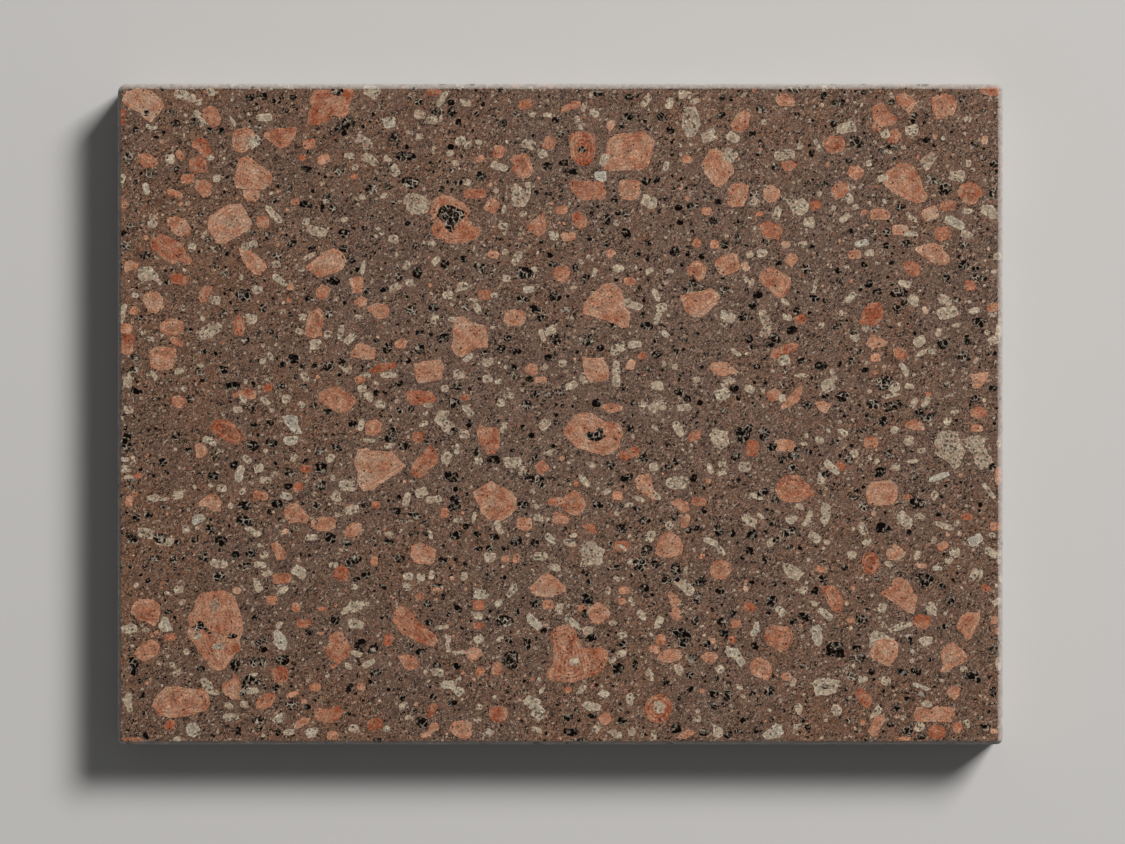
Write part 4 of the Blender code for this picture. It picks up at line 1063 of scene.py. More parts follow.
@dataclass
class ChipSet:
    """The chips broken out of the arrises, each the bite of one ellipsoid.

    Attributes:
        spacing: Spacing of the points that carry a chip's hollow.
        coarseness: How much wider they are spaced at the back's edge.
        margin: Gap between those points and the edge of the back.
        centres, half_sizes: Middle and half-sizes of every ellipsoid.
    """

    form: SlabForm
    spacing: float = 0.17
    coarseness: float = 1.6
    margin: float = 0.08
    centres: np.ndarray = field(init=False)
    half_sizes: np.ndarray = field(init=False)

    def __post_init__(self) -> None:
        """Works out every ellipsoid's centre and half-sizes."""
        bites = [self.side_bite(chip, self.form.thickness, -1) for chip in FACE_CHIPS]
        bites += [self.side_bite(chip, 0.0, 1) for chip in BACK_CHIPS]
        bites += [self.corner_bite(chip) for chip in CORNER_CHIPS]
        self.centres = np.array([centre for centre, _ in bites])
        self.half_sizes = np.array([half for _, half in bites])

    def side_bite(self, chip: Chip, edge: float, towards: int) -> tuple[np.ndarray, np.ndarray]:
        """The ellipsoid of a chip on a side.

        Args:
            chip: The chip.
            edge: Height of the edge that it breaks.
            towards: -1 where it reaches down from the face, 1 where up from the back.

        Returns:
            Its centre and its half-sizes.
        """
        normal, along = chip.side.normal, chip.side.along
        half_in = chip.reach_in / (1 - CHIP_STANDOFF)
        half_up = chip.reach_over / (1 - CHIP_STANDOFF)
        centre = normal * (self.form.wall(chip.side) + CHIP_STANDOFF * half_in) + along * chip.place
        half = np.abs(normal) * half_in + along * chip.length / 2
        height = edge - towards * CHIP_STANDOFF * half_up
        return np.append(centre, height), np.append(half, half_up)

    def corner_bite(self, chip: tuple) -> tuple[np.ndarray, np.ndarray]:
        """The ellipsoid of a chip off an upright corner.

        Args:
            chip: A row of the corner chips.

        Returns:
            Its centre and its half-sizes.
        """
        sign_x, sign_y, in_x, in_y, half_x, half_y, reach_down = chip
        half_down = reach_down / (1 - CHIP_STANDOFF)
        centre = np.array((sign_x, sign_y)) * (self.form.half - (in_x, in_y))
        height = self.form.thickness + CHIP_STANDOFF * half_down
        return np.append(centre, height), np.array((half_x, half_y, half_down))

    def grid(self, chip: Chip, rows: np.ndarray, spacing: float) -> np.ndarray:
        """Points in staggered rows under one chip of a side.

        Args:
            chip: The chip.
            rows: Distance of each row from the slab's middle.
            spacing: Spacing along a row.

        Returns:
            The points, on the plan or on the back.
        """
        columns = np.arange(-0.55 * chip.length, 0.56 * chip.length, spacing)
        across, forward = np.meshgrid(rows, columns)
        forward[:, 1::2] += spacing / 2
        return np.outer(across, chip.side.normal) + np.outer(chip.place + forward, chip.side.along)

    def outer_points(self) -> np.ndarray:
        """Points that carry the chips on the unfolded face and sides.

        Returns:
            Points of the plan under the chips of the face's edge and above those of the back.
        """
        form, coarse = self.form, self.coarseness * self.spacing
        grids = []
        for chip in FACE_CHIPS:
            rows = np.arange(-0.25, form.arris_span + 0.1, self.spacing)
            grids.append(self.grid(chip, form.face_edge(chip.side) + rows, self.spacing))
        for chip in BACK_CHIPS:
            rows = form.span - self.margin - np.arange(0.0, chip.reach_over + 0.5, coarse)
            grids.append(self.grid(chip, form.face_edge(chip.side) + rows, coarse))
        return np.vstack(grids)

    def back_points(self) -> np.ndarray:
        """Points that carry the chips on the back.

        Returns:
            Points of the back along its edge.
        """
        coarse = self.coarseness * self.spacing
        grids = []
        for chip in BACK_CHIPS:
            highest = self.form.wall(chip.side) - self.form.back_arris - self.margin
            rows = highest - np.arange(0.0, chip.reach_in + 0.3, coarse)
            grids.append(self.grid(chip, rows, coarse))
        return np.vstack(grids)

    def broken(self, points: np.ndarray) -> tuple[np.ndarray, np.ndarray]:
        """Pushes the points inside each ellipsoid out to its far wall.

        Args:
            points: Points in space, in millimetres.

        Returns:
            The points after every bite, and which of them were moved.
        """
        points = points.copy()
        moved = np.zeros(len(points), dtype=bool)
        for centre, half in zip(self.centres, self.half_sizes):
            offset = (points - centre) / half
            size = np.sqrt((offset**2).sum(axis=1))
            inside = size < 1.0
            reach = offset[inside] / np.maximum(size[inside], 1e-9)[:, None]
            points[inside] = centre + reach * half
            moved |= inside
        points[:, :2] = np.clip(points[:, :2], -self.form.half, self.form.half)
        return points, moved


@dataclass
class Scatter:
    """Strews crystals over a plane without letting them overlap.

    Attributes:
        half: Half of the size of the square that it covers, in millimetres.
        cell: Size of the cells that remember what is taken.
        taken: Which cells are taken.
    """

    half: float
    cell: float = 0.4
    taken: np.ndarray = field(init=False)

    def __post_init__(self) -> None:
        """Starts with every cell free."""
        count = int(2 * self.half / self.cell) + 2
        self.taken = np.zeros((count, count), dtype=bool)

    def window(self, place: np.ndarray, reach: float) -> tuple[slice, slice]:
        """The cells within a reach of a place."""
        low = ((place - reach + self.half) / self.cell).astype(int)
        high = ((place + reach + self.half) / self.cell).astype(int) + 1
        low = np.maximum(low, 0)
        return slice(low[0], high[0]), slice(low[1], high[1])

    def claim(self, crystal: Crystal) -> None:
        """Marks the cells under the ellipse that spans a crystal's length and width.

        Args:
            crystal: The crystal.
        """
        middle = crystal.middle
        columns, rows = self.window(middle, crystal.reach)
        x = (np.arange(columns.start, columns.stop) + 0.5) * self.cell - self.half - middle[0]
        y = (np.arange(rows.start, rows.stop) + 0.5) * self.cell - self.half - middle[1]
        grid = np.stack(np.meshgrid(x, y, indexing="ij"), axis=-1)
        local = turned(crystal.outline - middle, -crystal.turn)
        half = np.maximum(np.abs(local).max(axis=0), 0.2)
        cells = turned(grid.reshape(-1, 2), -crystal.turn) / half
        covered = ((cells**2).sum(axis=1) < 1.1).reshape(grid.shape[:2])
        self.taken[columns, rows] |= covered[: self.taken.shape[0] - columns.start]

    def is_free(self, place: np.ndarray, reach: float) -> bool:
        """Whether no cell within a reach of a place is taken."""
        return not self.taken[self.window(place, reach)].any()


@dataclass
class Paragenesis:
    """Fills every surface of the slab with crystals.

    Attributes:
        face_small, side_small, back_small: How many small grains a surface gets.
        minerals, shares: What the small grains are made of, and in what proportions.
        side_share, side_limit: Share of the read crystals, and their greatest reach, that the
            sides repeat.
        gap, small_gap: Room left round a crystal and round a small grain.
        face_margin, back_margin: Room left along the edge of the face and of the back.
        corner_margin, lower_margin: Room left along the corners and the lower edge of a side.
        side_start: How far outside the face's edge the strewn crystals of a side begin.
        tries: How many places are tried for each crystal that is strewn.
        coarse_step: Spacing of the outlines on the sides and the back.
        rng: Source of everything random.
    """

    form: SlabForm
    face_small: int = 2000
    side_small: int = 260
    back_small: int = 350
    minerals: tuple[Mineral, ...] = (Mineral.QUARTZ, Mineral.PLAGIOCLASE, Mineral.FELDSPAR)
    shares: tuple[float, ...] = (0.64, 0.30, 0.06)
    side_share: float = 0.45
    side_limit: float = 5.5
    gap: float = 0.25
    small_gap: float = 0.1
    face_margin: float = 0.2
    back_margin: float = 0.9
    corner_margin: float = 1.5
    lower_margin: float = 0.3
    side_start: float = 1.2
    tries: int = 12
    coarse_step: float = 0.85
    rng: np.random.Generator = field(default_factory=lambda: np.random.default_rng(STONE_SEED))

    def small_grains(self, count: int) -> list[Crystal]:
        """Small grains at the origin, waiting to be strewn.

        A grain's length is 0.48 mm and a gamma draw, so most are small and a few are larger.

        Args:
            count: How many.

        Returns:
            The grains.
        """
        minerals = self.rng.choice(self.minerals, count, p=self.shares)
        lengths = 0.48 + self.rng.gamma(2.0, 0.21, count)
        grains = []
        for kind, length in zip(minerals, lengths):
            mineral = Mineral(int(kind))
            width = length * self.rng.uniform(0.55, 0.95)
            sizes = np.array((0.0, 0.0, length, width))
            turn, tone = self.rng.uniform(-90, 90), self.rng.uniform(0.05, 0.7)
            grains.append(grain(mineral, sizes, turn, tone, self.rng))
        return grains

    def strewn(
        self,
        library: list[Crystal],
        scatter: Scatter,
        draw: Callable[[float], np.ndarray],
        gap: float,
    ) -> list[Crystal]:
        """Places each crystal of a library at the first free place that is drawn.

        Args:
            library: Crystals to place, the large ones first.
            scatter: What is already taken.
            draw: Draws a place for a crystal's reach.
            gap: Room to leave round each crystal.

        Returns:
            The crystals that found a place.
        """
        placed = []
        for crystal in library:
            reach = crystal.reach
            for _ in range(self.tries):
                place = draw(reach)
                if scatter.is_free(place, 0.8 * reach + gap):
                    angle = self.rng.uniform(-math.pi, math.pi)
                    step = min(self.coarse_step, 0.9 * reach)
                    placed.append(crystal.placed(place, angle, step))
                    scatter.claim(placed[-1])
                    break
        return placed

    def draw_on_face(self, reach: float) -> np.ndarray:
        """A random place on the honed face or its arris."""
        return self.rng.uniform(-1, 1, 2) * (self.form.half - reach - self.face_margin)

    def draw_on_side(self, reach: float) -> np.ndarray:
        """A random place on the unfolded sides, clear of the corners and the lower edge."""
        lowest = self.form.span - self.form.back_span - self.lower_margin - reach
        outside = self.rng.uniform(min(self.side_start, lowest), lowest)
        side = self.rng.choice(list(Side), p=self.form.side_shares)
        along = self.rng.uniform(-1, 1) * (side.along @ self.form.half - self.corner_margin - reach)
        return side.normal * (self.form.face_edge(side) + outside) + side.along * along

    def draw_on_back(self, reach: float) -> np.ndarray:
        """A random place on the sawn back."""
        return self.rng.uniform(-1, 1, 2) * (self.form.half - reach - self.back_margin)

    def library(self, read: list[Crystal], share: float, limit: float) -> list[Crystal]:
        """A random share of the read crystals below a size, the largest first."""
        picked = [c for c in read if c.reach < limit and self.rng.uniform() < share]
        return sorted(picked, key=lambda crystal: -crystal.reach)

    def face(self, read: list[Crystal]) -> list[Crystal]:
        """Fills the face, its arrises and the sides.

        Args:
            read: The crystals read from the face.

        Returns:
            Every crystal of the unfolded skin, the ones on top last.
        """
        scatter = Scatter(half=self.form.length / 2 + self.form.span + 2)
        for crystal in read:
            scatter.claim(crystal)
        sides = self.library(read, self.side_share, self.side_limit)
        strewn = self.strewn(sides, scatter, self.draw_on_side, self.gap)
        for count, draw in ((self.face_small, self.draw_on_face), (self.side_small, self.draw_on_side)):
            strewn += self.strewn(self.small_grains(count), scatter, draw, self.small_gap)
        return strewn + read

    def back(self, read: list[Crystal]) -> list[Crystal]:
        """Fills the sawn back.

        Args:
            read: The crystals read from the face, which the back repeats in other places.

        Returns:
            The crystals of the back.
        """
        scatter = Scatter(half=self.form.length / 2 + 2)
        library = self.library(read, share=1.0, limit=20.0)
        strewn = self.strewn(library, scatter, self.draw_on_back, self.gap)
        small = self.small_grains(self.back_small)
        return strewn + self.strewn(small, scatter, self.draw_on_back, self.small_gap)


@dataclass
class Skin:
    """A triangulated sheet of the stone.

    Attributes:
        points: Points of the sheet on its plan.
        triangles: Rows of three point numbers.
        owner: The number of each triangle's crystal, or -1 for groundmass.
    """

    points: np.ndarray
    triangles: np.ndarray
    owner: np.ndarray
    crystals: list[Crystal]

    def rim_depths(self) -> np.ndarray:
        """How deep the triangles' corners lie inside their crystals.

        Returns:
            A row of three depths for each triangle, 0 in the groundmass.
        """
        depths = np.zeros(self.triangles.shape)
        order = np.argsort(self.owner, kind="stable")
        starts = np.searchsorted(self.owner[order], np.arange(len(self.crystals) + 1))
        for number, crystal in enumerate(self.crystals):
            rows = order[starts[number] : starts[number + 1]]
            if len(rows):
                corners = self.points[self.triangles[rows].ravel()]
                depths[rows] = crystal.depth_of(corners).reshape(-1, 3)
        return depths


# Kind of triangulation that keeps what is inside the border, and the millimetres within which
# it joins points
INSIDE = 1
JOINED = 1e-4


def triangulated(
    border: np.ndarray, crystals: list[Crystal], lines: list[np.ndarray], loose: np.ndarray
) -> Skin:
    """Cuts a plan along its crystals' outlines and fills it with triangles.

    Args:
        border: The closed line round the whole plan.
        crystals: Crystals, the ones on top last.
        lines: Further lines that triangles may not cross.
        loose: Further points.

    Returns:
        The triangulated sheet.
    """
    polygons = [border] + [crystal.outline for crystal in crystals]
    starts = np.cumsum([0] + [len(points) for points in polygons + lines])
    faces = [list(range(start, start + len(p))) for start, p in zip(starts, polygons)]
    edges = []
    for start, line in zip(starts[len(polygons) :], lines):
        edges.extend((start + step, start + step + 1) for step in range(len(line) - 1))
    vectors = [Vector(point) for point in np.vstack(polygons + lines + [loose]).tolist()]
    cut = delaunay_2d_cdt(vectors, edges, faces, INSIDE, JOINED, True)
    return Skin(
        points=np.array([tuple(point) for point in cut[0]]),
        triangles=np.array(cut[2], dtype=int),
        owner=np.array([max(cover, default=0) for cover in cut[5]]) - 1,
        crystals=crystals,
    )


# Size of each shrunken copy of a crystal's outline, and how many of its points make one there
INNER_RINGS = ((0.84, 2), (0.55, 4))


def inner_points(crystals: list[Crystal], least: float) -> np.ndarray:
    """Points inside the larger crystals, on shrunken copies of their outlines.

    Args:
        crystals: The crystals.
        least: The smallest reach that gets them, in millimetres.

    Returns:
        The points.
    """
    clouds = [np.zeros((0, 2))]
    for crystal in crystals:
        if crystal.reach >= least:
            middle = crystal.middle
            for size, every in INNER_RINGS:
                clouds.append(middle + size * (crystal.outline[::every] - middle))
    return np.vstack(clouds)


@dataclass
class Shell:
    """The stone's whole surface as arrays.

    Attributes:
        points: Points in space, in millimetres.
        triangles: Rows of three point numbers, anticlockwise seen from outside.
        owner: The number of each triangle's crystal, or -1 for groundmass.
        cut: How far each point is from the honed face: 0 there, 1 below its arris, 2 sawn.
        chipped: Which points lie in a chip.
        rim: Depth inside its crystal of each corner of each triangle.
        picture: Place of each corner on one square picture of the skin.
        sharp_from: Degrees above which an edge is sharp.
    """

    points: np.ndarray
    triangles: np.ndarray
    crystals: list[Crystal]
    owner: np.ndarray
    cut: np.ndarray
    chipped: np.ndarray
    rim: np.ndarray
    picture: np.ndarray
    sharp_from: float = 25.0

    def facts(self) -> dict[str, np.ndarray]:
        """What the finishes need to know of each triangle's crystal.

        Returns:
            The facts by name, one number a triangle.
        """
        rng = np.random.default_rng(STONE_SEED + 1)
        rows = [(int(c.mineral), c.tone, c.zoning, c.turn) for c in self.crystals]
        mineral, tone, zoning, turn = np.array(rows + [(0, 0.5, 0.0, 0.0)])[self.owner].T
        seed = np.append(rng.uniform(0, 1, len(self.crystals)), 0.5)[self.owner]
        broken = self.chipped[self.triangles].all(axis=1)
        return dict(mineral=mineral, tone=tone, zoning=zoning, turn=turn, seed=seed, broken=broken)

    def open_edges(self) -> int:
        """How many edges don't join exactly two triangles."""
        edges = np.sort(self.triangles[:, (0, 1, 1, 2, 2, 0)].reshape(-1, 2), axis=1)
        return int((np.unique(edges, axis=0, return_counts=True)[1] != 2).sum())

    def mesh(self, name: str) -> bpy.types.Mesh:
        """The surface as a mesh that carries its facts as attributes.

        Args:
            name: The mesh's name.

        Returns:
            The mesh, smooth but for its sharp edges.
        """
        used, compact = np.unique(self.triangles, return_inverse=True)
        mesh = bpy.data.meshes.new(name)
        places = (self.points[used] * METRES).tolist()
        mesh.from_pydata(places, [], compact.reshape(-1, 3).tolist())
        facts = self.facts()
        mesh.polygons.foreach_set("material_index", facts.pop("mineral").astype(np.int32))
        layers = [(fact, "FACE", values) for fact, values in facts.items()]
        layers += [("cut", "POINT", self.cut[used]), ("rim", "CORNER", self.rim.ravel())]
        for fact, domain, values in layers:
            layer = mesh.attributes.new(fact, "FLOAT", domain)
            layer.data.foreach_set("value", values.astype(np.float32))
        picture = mesh.uv_layers.new(name="OFBake")
        picture.uv.foreach_set("vector", self.picture.ravel().astype(np.float32))
        mesh.shade_smooth()
        mesh.set_sharp_from_angle(angle=math.radians(self.sharp_from))
        return mesh


def in_scene(name: str, data: bpy.types.ID) -> bpy.types.Object:
    """A new object of the scene that holds this mesh, lamp or lens."""
    made = bpy.data.objects.new(name, data)
    bpy.context.scene.collection.objects.link(made)
    return made


@dataclass
class RhyoliteSlab:
    """The slab as one closed piece.

    Attributes:
        side_spacing: Spacing of the points along its straight edges.
        levels: Distances outside the face's edge at which lines run round the slab.
        face_detail: Least reach of a crystal of the face that gets points inside it.
        back_detail: The same on the back.
        sawn_from: How far below the arris the sawn side begins to look sawn.
        picture_scale: Share of the skin's picture that a millimetre takes.
        picture_gap: Gap round each part of the picture, in millimetres.
        back_share: How much smaller the back is on the picture.
    """

    form: SlabForm = field(default_factory=SlabForm)
    side_spacing: float = 2.5
    levels: tuple[float, ...] = (0.0, 0.33, 0.67, 1.0, 1.33, 1.67, 2.0, 6.3, 10.6, 15.0)
    face_detail: float = 1.6
    back_detail: float = 3.5
    sawn_from: float = 0.6
    picture_scale: float = 0.00386
    picture_gap: float = 0.6
    back_share: float = 0.51

    def guides(self) -> list[np.ndarray]:
        """Lines round the slab at every level, and down every step of its corners."""
        rings = [self.form.ring(level, self.side_spacing) for level in self.levels]
        lines = [np.vstack((ring, ring[:1])) for ring in rings]
        first = self.form.ring(0.0, 1e3)
        last = self.form.ring(self.form.span, 1e3)
        return lines + [np.vstack(pair) for pair in zip(first, last)]

    def outer_sheet(self, crystals: list[Crystal], chip_set: ChipSet) -> Skin:
        """The unfolded face and sides."""
        loose = (inner_points(crystals, self.face_detail), chip_set.outer_points())
        border = self.form.ring(self.form.span, self.side_spacing)
        return triangulated(border, crystals, self.guides(), np.vstack(loose))

    def back_sheet(self, outer: Skin, crystals: list[Crystal], chip_set: ChipSet) -> Skin:
        """The sawn back, its border made of the outer sheet's lowest points.

        Args:
            outer: The unfolded face and sides.
            crystals: The back's crystals.
            chip_set: The chips.

        Returns:
            The sheet, its triangles clockwise so that they face down.
        """
        outside = self.form.edge_frame(outer.points)[0]
        lowest = outer.points[outside > self.form.span - TOUCHING]
        lowest = lowest[np.argsort(np.arctan2(lowest[:, 1], lowest[:, 0]))]
        border = self.form.folded(lowest)[:, :2]
        loose = (inner_points(crystals, self.back_detail), chip_set.back_points())
        back = triangulated(border, crystals, [], np.vstack(loose))
        back.triangles = back.triangles[:, ::-1]
        return back

    def cut_depths(self, outer: Skin, back: Skin) -> np.ndarray:
        """How far each point lies from the honed face: 0 there, 1 below its arris, 2 sawn."""
        outside = self.form.edge_frame(outer.points)[0]
        ground = np.clip(outside / self.form.arris_span, 0.0, 1.0)
        sawn = np.clip((outside - self.form.arris_span) / self.sawn_from, 0.0, 1.0)
        return np.concatenate((ground + sawn, np.full(len(back.points), 2.0)))

    def joined(self, outer: Skin, back: Skin, chip_set: ChipSet) -> Shell:
        """Folds the outer sheet round the slab and closes it with the back.

        Points of the back's border take the numbers of the outer sheet's lowest points, so
        that both sheets share them.

        Args:
            outer: The unfolded face and sides.
            back: The sawn back.
            chip_set: The chips to break out.

        Returns:
            The closed surface.
        """
        outer_place = self.form.folded(outer.points)
        back_place = np.column_stack((back.points, np.zeros(len(back.points))))
        border = np.flatnonzero(outer_place[:, 2] < TOUCHING)
        gaps = back_place[:, None, :2] - outer_place[None, border, :2]
        gaps = np.hypot(gaps[..., 0], gaps[..., 1])
        numbers = len(outer_place) + np.arange(len(back_place))
        shared = gaps.min(axis=1) < TOUCHING
        numbers[shared] = border[gaps.argmin(axis=1)[shared]]
        points, chipped = chip_set.broken(np.vstack((outer_place, back_place)))
        back_owner = np.where(back.owner < 0, -1, back.owner + len(outer.crystals))
        return Shell(
            points=points,
            triangles=np.vstack((outer.triangles, numbers[back.triangles])),
            crystals=outer.crystals + back.crystals,
            owner=np.concatenate((outer.owner, back_owner)),
            cut=self.cut_depths(outer, back),
            chipped=chipped,
            rim=np.vstack((outer.rim_depths(), back.rim_depths())),
            picture=self.picture(outer, back),
        )

    def picture(self, outer: Skin, back: Skin) -> np.ndarray:
        """Where each triangle's corners lie on one square picture of the whole skin.

        The unfolded face and sides fill the picture's width. The back, seen from below, lies
        above them at a smaller scale.

        Args:
            outer: The unfolded face and sides.
            back: The sawn back.

        Returns:
            Two numbers from 0 to 1 for each corner of each triangle.
        """
        half = outer.points.max(axis=0)
        outer_place = (outer.points + half + self.picture_gap) * self.picture_scale
        mirrored = back.points * (-1, 1) + self.form.half + self.picture_gap
        above = np.array((0.0, 2 * (half[1] + self.picture_gap) * self.picture_scale))
        back_place = mirrored * self.picture_scale * self.back_share + above
        return np.vstack((outer_place[outer.triangles], back_place[back.triangles]))

    def build(self) -> bpy.types.Object:
        """Makes the slab's mesh and dresses it.

        Returns:
            The slab.
        """
        growth = Paragenesis(self.form)
        read = CrystalRecord(growth.rng).read()
        logging.info("Crystals read from the honed face: %d", len(read))
        chip_set = ChipSet(self.form)
        outer = self.outer_sheet(growth.face(read), chip_set)
        back = self.back_sheet(outer, growth.back(read), chip_set)
        logging.info("Crystals: %d outside, %d on the back", len(outer.crystals), len(back.crystals))
        shell = self.joined(outer, back, chip_set)
        logging.info("Slab: %d triangles, %d open edges", len(shell.triangles), shell.open_edges())
        mesh = shell.mesh("rhyolite_slab")
        for finish in (GroundmassFinish(), FeldsparFinish(), PlagioclaseFinish(), QuartzFinish()):
            mesh.materials.append(finish.build())
        slab = in_scene("rhyolite_slab_stone", mesh)
        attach(slab, "root")
        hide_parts("rhyolite_slab")
        return slab


class Graph:
    """Short names for building one material's shader nodes."""

    def __init__(self, name: str) -> None:
        """Starts a material with its Principled shader."""
        self.material = bpy.data.materials.new(name)
        self.material.use_nodes = True
        self.tree = self.material.node_tree
        self.shader = self.tree.nodes["Principled BSDF"]

    def feed(self, socket: Socket, value: Input) -> None:
        """Links a socket to another, or sets it to a constant."""
        if isinstance(value, Socket):
            self.tree.links.new(value, socket)
        else:
            socket.default_value = value

    def node(self, kind: str, *values: Input, **settings: object) -> bpy.types.Node:
        """Adds a node.

        Args:
            kind: Its type, without the common start of the name.
            *values: Values or sockets for its first inputs.
            **settings: Its properties.

        Returns:
            The node.
        """
        made = self.tree.nodes.new("ShaderNode" + kind)
        for name, value in settings.items():
            setattr(made, name, value)
        for socket, value in zip(made.inputs, values):
            self.feed(socket, value)
        return made

    def math(self, operation: str, first: Input, second: Input = 0.0) -> Socket:
        """One sum on numbers."""
        return self.node("Math", first, second, operation=operation).outputs[0]

    def plus(self, first: Input, second: Input) -> Socket:
        """Two numbers added."""
        return self.math("ADD", first, second)

    def times(self, first: Input, second: Input) -> Socket:
        """Two numbers multiplied."""
        return self.math("MULTIPLY", first, second)

    def span(self, value: Input, low: float, high: float, bottom: float = 0.0, top: float = 1.0) -> Socket:
        """A value mapped from one range to another and held inside it."""
        return self.node("MapRange", value, low, high, bottom, top).outputs[0]

    def attribute(self, name: str) -> Socket:
        """A number that the mesh carries."""
        return self.node("Attribute", attribute_name=name).outputs["Fac"]

    def vector(self, operation: str, first: Input, second: Input) -> Socket:
        """One sum on coordinates or colours."""
        return self.node("VectorMath", first, second, operation=operation).outputs[0]

    def place(self) -> Socket:
        """The object's own coordinates, in millimetres."""
        return self.vector("MULTIPLY", self.node("TexCoord").outputs["Object"], (1 / METRES,) * 3)

    def grain_place(self) -> Socket:
        """Millimetres along and across each crystal's length, far apart from crystal to crystal."""
        around = self.node("VectorRotate", self.place(), rotation_type="Z_AXIS")
        self.feed(around.inputs["Angle"], self.times(self.attribute("turn"), -1.0))
        return self.vector("ADD", around.outputs[0], self.times(self.attribute("seed"), 400.0))

    def texture(self, kind: str, place: Socket, scale: float, **settings: object) -> bpy.types.Node:
        """A texture node with so many features to the millimetre."""
        made = self.node(kind, place, **settings)
        self.feed(made.inputs["Scale"], scale)
        return made

    def noise(self, place: Socket, scale: float, detail: float = 2.0) -> Socket:
        """Smooth noise from 0 to 1."""
        made = self.texture("TexNoise", place, scale, normalize=True)
        self.feed(made.inputs["Detail"], detail)
        return made.outputs[0]

    def draws(self, place: Socket, scale: float) -> tuple[Socket, ...]:
        """Three random numbers for each Voronoi cell."""
        cells = self.texture("TexVoronoi", place, scale, feature="F1")
        return tuple(self.node("SeparateColor", cells.outputs["Color"]).outputs)

    def mix(self, share: Input, first: Socket | Colour, second: Socket | Colour) -> Socket:
        """The first colour with a share of the second mixed in."""
        made = self.node("Mix", share, data_type="RGBA")
        for socket, value in ((made.inputs[6], first), (made.inputs[7], second)):
            self.feed(socket, value if isinstance(value, Socket) else (*value, 1.0))
        return made.outputs[2]

    def shaded(self, colour: Socket, brightness: Socket) -> Socket:
        """A colour times a number."""
        return self.vector("MULTIPLY", colour, brightness)

    def clouded(
        self, colour: Socket, place: Socket, scale: float, detail: float, bottom: float, top: float
    ) -> Socket:
        """A colour whose brightness follows smooth noise between two limits."""
        return self.shaded(colour, self.span(self.noise(place, scale, detail), 0.3, 0.7, bottom, top))

    def grained(self, colour: Socket, draw: Socket, bottom: float, top: float) -> Socket:
        """A colour whose brightness follows a random number between two limits."""
        return self.shaded(colour, self.span(draw, 0.0, 1.0, bottom, top))

    def specked(
        self, colour: Socket, number: Socket, edge: float, full: float, strength: float, speck: Colour
    ) -> Socket:
        """A colour with specks that begin where a number passes an edge and are full at another."""
        return self.mix(self.span(number, edge, full, 0.0, strength), colour, speck)


@dataclass(frozen=True)
class StoneFinish:
    """What every mineral's surface has in common.

    Attributes:
        honed_roughness, ground_roughness: Roughness of the honed face and elsewhere.
        ground_share: How far a ground surface goes towards the colour of rock flour.
        ground_onset: How soon it does so down the arris, sooner below 1.
        flour: Colour of the rock flour left by the grinder.
        painted_lit_flour: A paler flour colour on the back and right arrises, painted light where the lamp
            falls on them.
        painted_lit_band: How far in from the wall the painted light begins and is full.
        break_colour, break_share: Colour of a broken surface, and how far it goes towards it.
        bump_height: Height of the fine relief, in metres.
    """

    name: str = "stone"
    honed_roughness: float = 0.48
    ground_roughness: float = 0.72
    specular: float = 0.20
    ground_share: float = 0.86
    ground_onset: float = 0.42
    flour: Colour = (0.46, 0.46, 0.45)
    painted_lit_flour: Colour = (0.60, 0.58, 0.55)
    painted_lit_band: tuple[float, float] = (1.6, 1.2)
    break_colour: Colour = (0.55, 0.53, 0.50)
    break_share: float = 0.45
    bump_strength: float = 0.5
    bump_height: float = 0.00008

    def colour(self, graph: Graph) -> Socket:
        """The mineral's colour on the honed face."""
        raise NotImplementedError

    def flour_and_painted_light(self, graph: Graph, cut: Socket) -> Socket:
        """Rock flour, with painted light on the back and right arrises, which are made paler.

        Args:
            graph: The material's nodes.
            cut: How far the surface is from the honed face.

        Returns:
            The colour.
        """
        # Painted light: the arrises along the back and right walls are made paler, standing in for where
        # the lamp falls on them.
        begin, full = self.painted_lit_band
        walls = [wall / METRES for wall in CAD_BOX[1][:2]]
        places = graph.node("SeparateXYZ", graph.place()).outputs
        near = [graph.span(at, wall - begin, wall - full) for at, wall in zip(places, walls)]
        painted_lit_share = graph.times(graph.math("MAXIMUM", *near), graph.span(cut, 1.0, 1.2, 1.0, 0.0))
        return graph.mix(painted_lit_share, self.flour, self.painted_lit_flour)

    def build(self) -> bpy.types.Material:
        """The mineral's colour, dulled with rock flour and roughened where it is not honed, with painted
        light on the back and right arrises and a fine relief.

        Returns:
            The finished material.
        """
        graph = Graph(self.name)
        inputs = graph.shader.inputs
        place = graph.place()
        cut = graph.attribute("cut")
        ground = graph.span(cut, 0.0, 1.0)
        share = graph.math("POWER", ground, self.ground_onset)
        share = graph.times(share, graph.span(cut, 1.0, 1.6, 1.0, 0.5))
        scuffs = graph.span(graph.noise(place, 0.9, 5.0), 0.3, 0.7, 0.75, 1.2)
        share = graph.times(graph.times(share, scuffs), self.ground_share)
        dusted_and_lit = graph.mix(share, self.colour(graph), self.flour_and_painted_light(graph, cut))
        broken = graph.times(graph.attribute("broken"), self.break_share)
        graph.feed(inputs["Base Color"], graph.mix(broken, dusted_and_lit, self.break_colour))
        roughness = graph.span(ground, 0.0, 1.0, self.honed_roughness, self.ground_roughness)
        graph.feed(inputs["Roughness"], roughness)
        graph.feed(inputs["Specular IOR Level"], self.specular)
        strokes = graph.noise(graph.vector("MULTIPLY", place, (0.25, 0.25, 6.0)), 0.8, 2.0)
        strokes = graph.times(strokes, graph.span(cut, 1.0, 2.0))
        height = graph.plus(graph.noise(place, 5.0, 3.0), strokes)
        height = graph.times(height, graph.span(ground, 0.0, 1.0, 0.12, 1.0))
        bump = graph.node("Bump", self.bump_strength, self.bump_height)
        graph.feed(bump.inputs["Height"], height)
        graph.feed(inputs["Normal"], bump.outputs[0])
        return graph.material


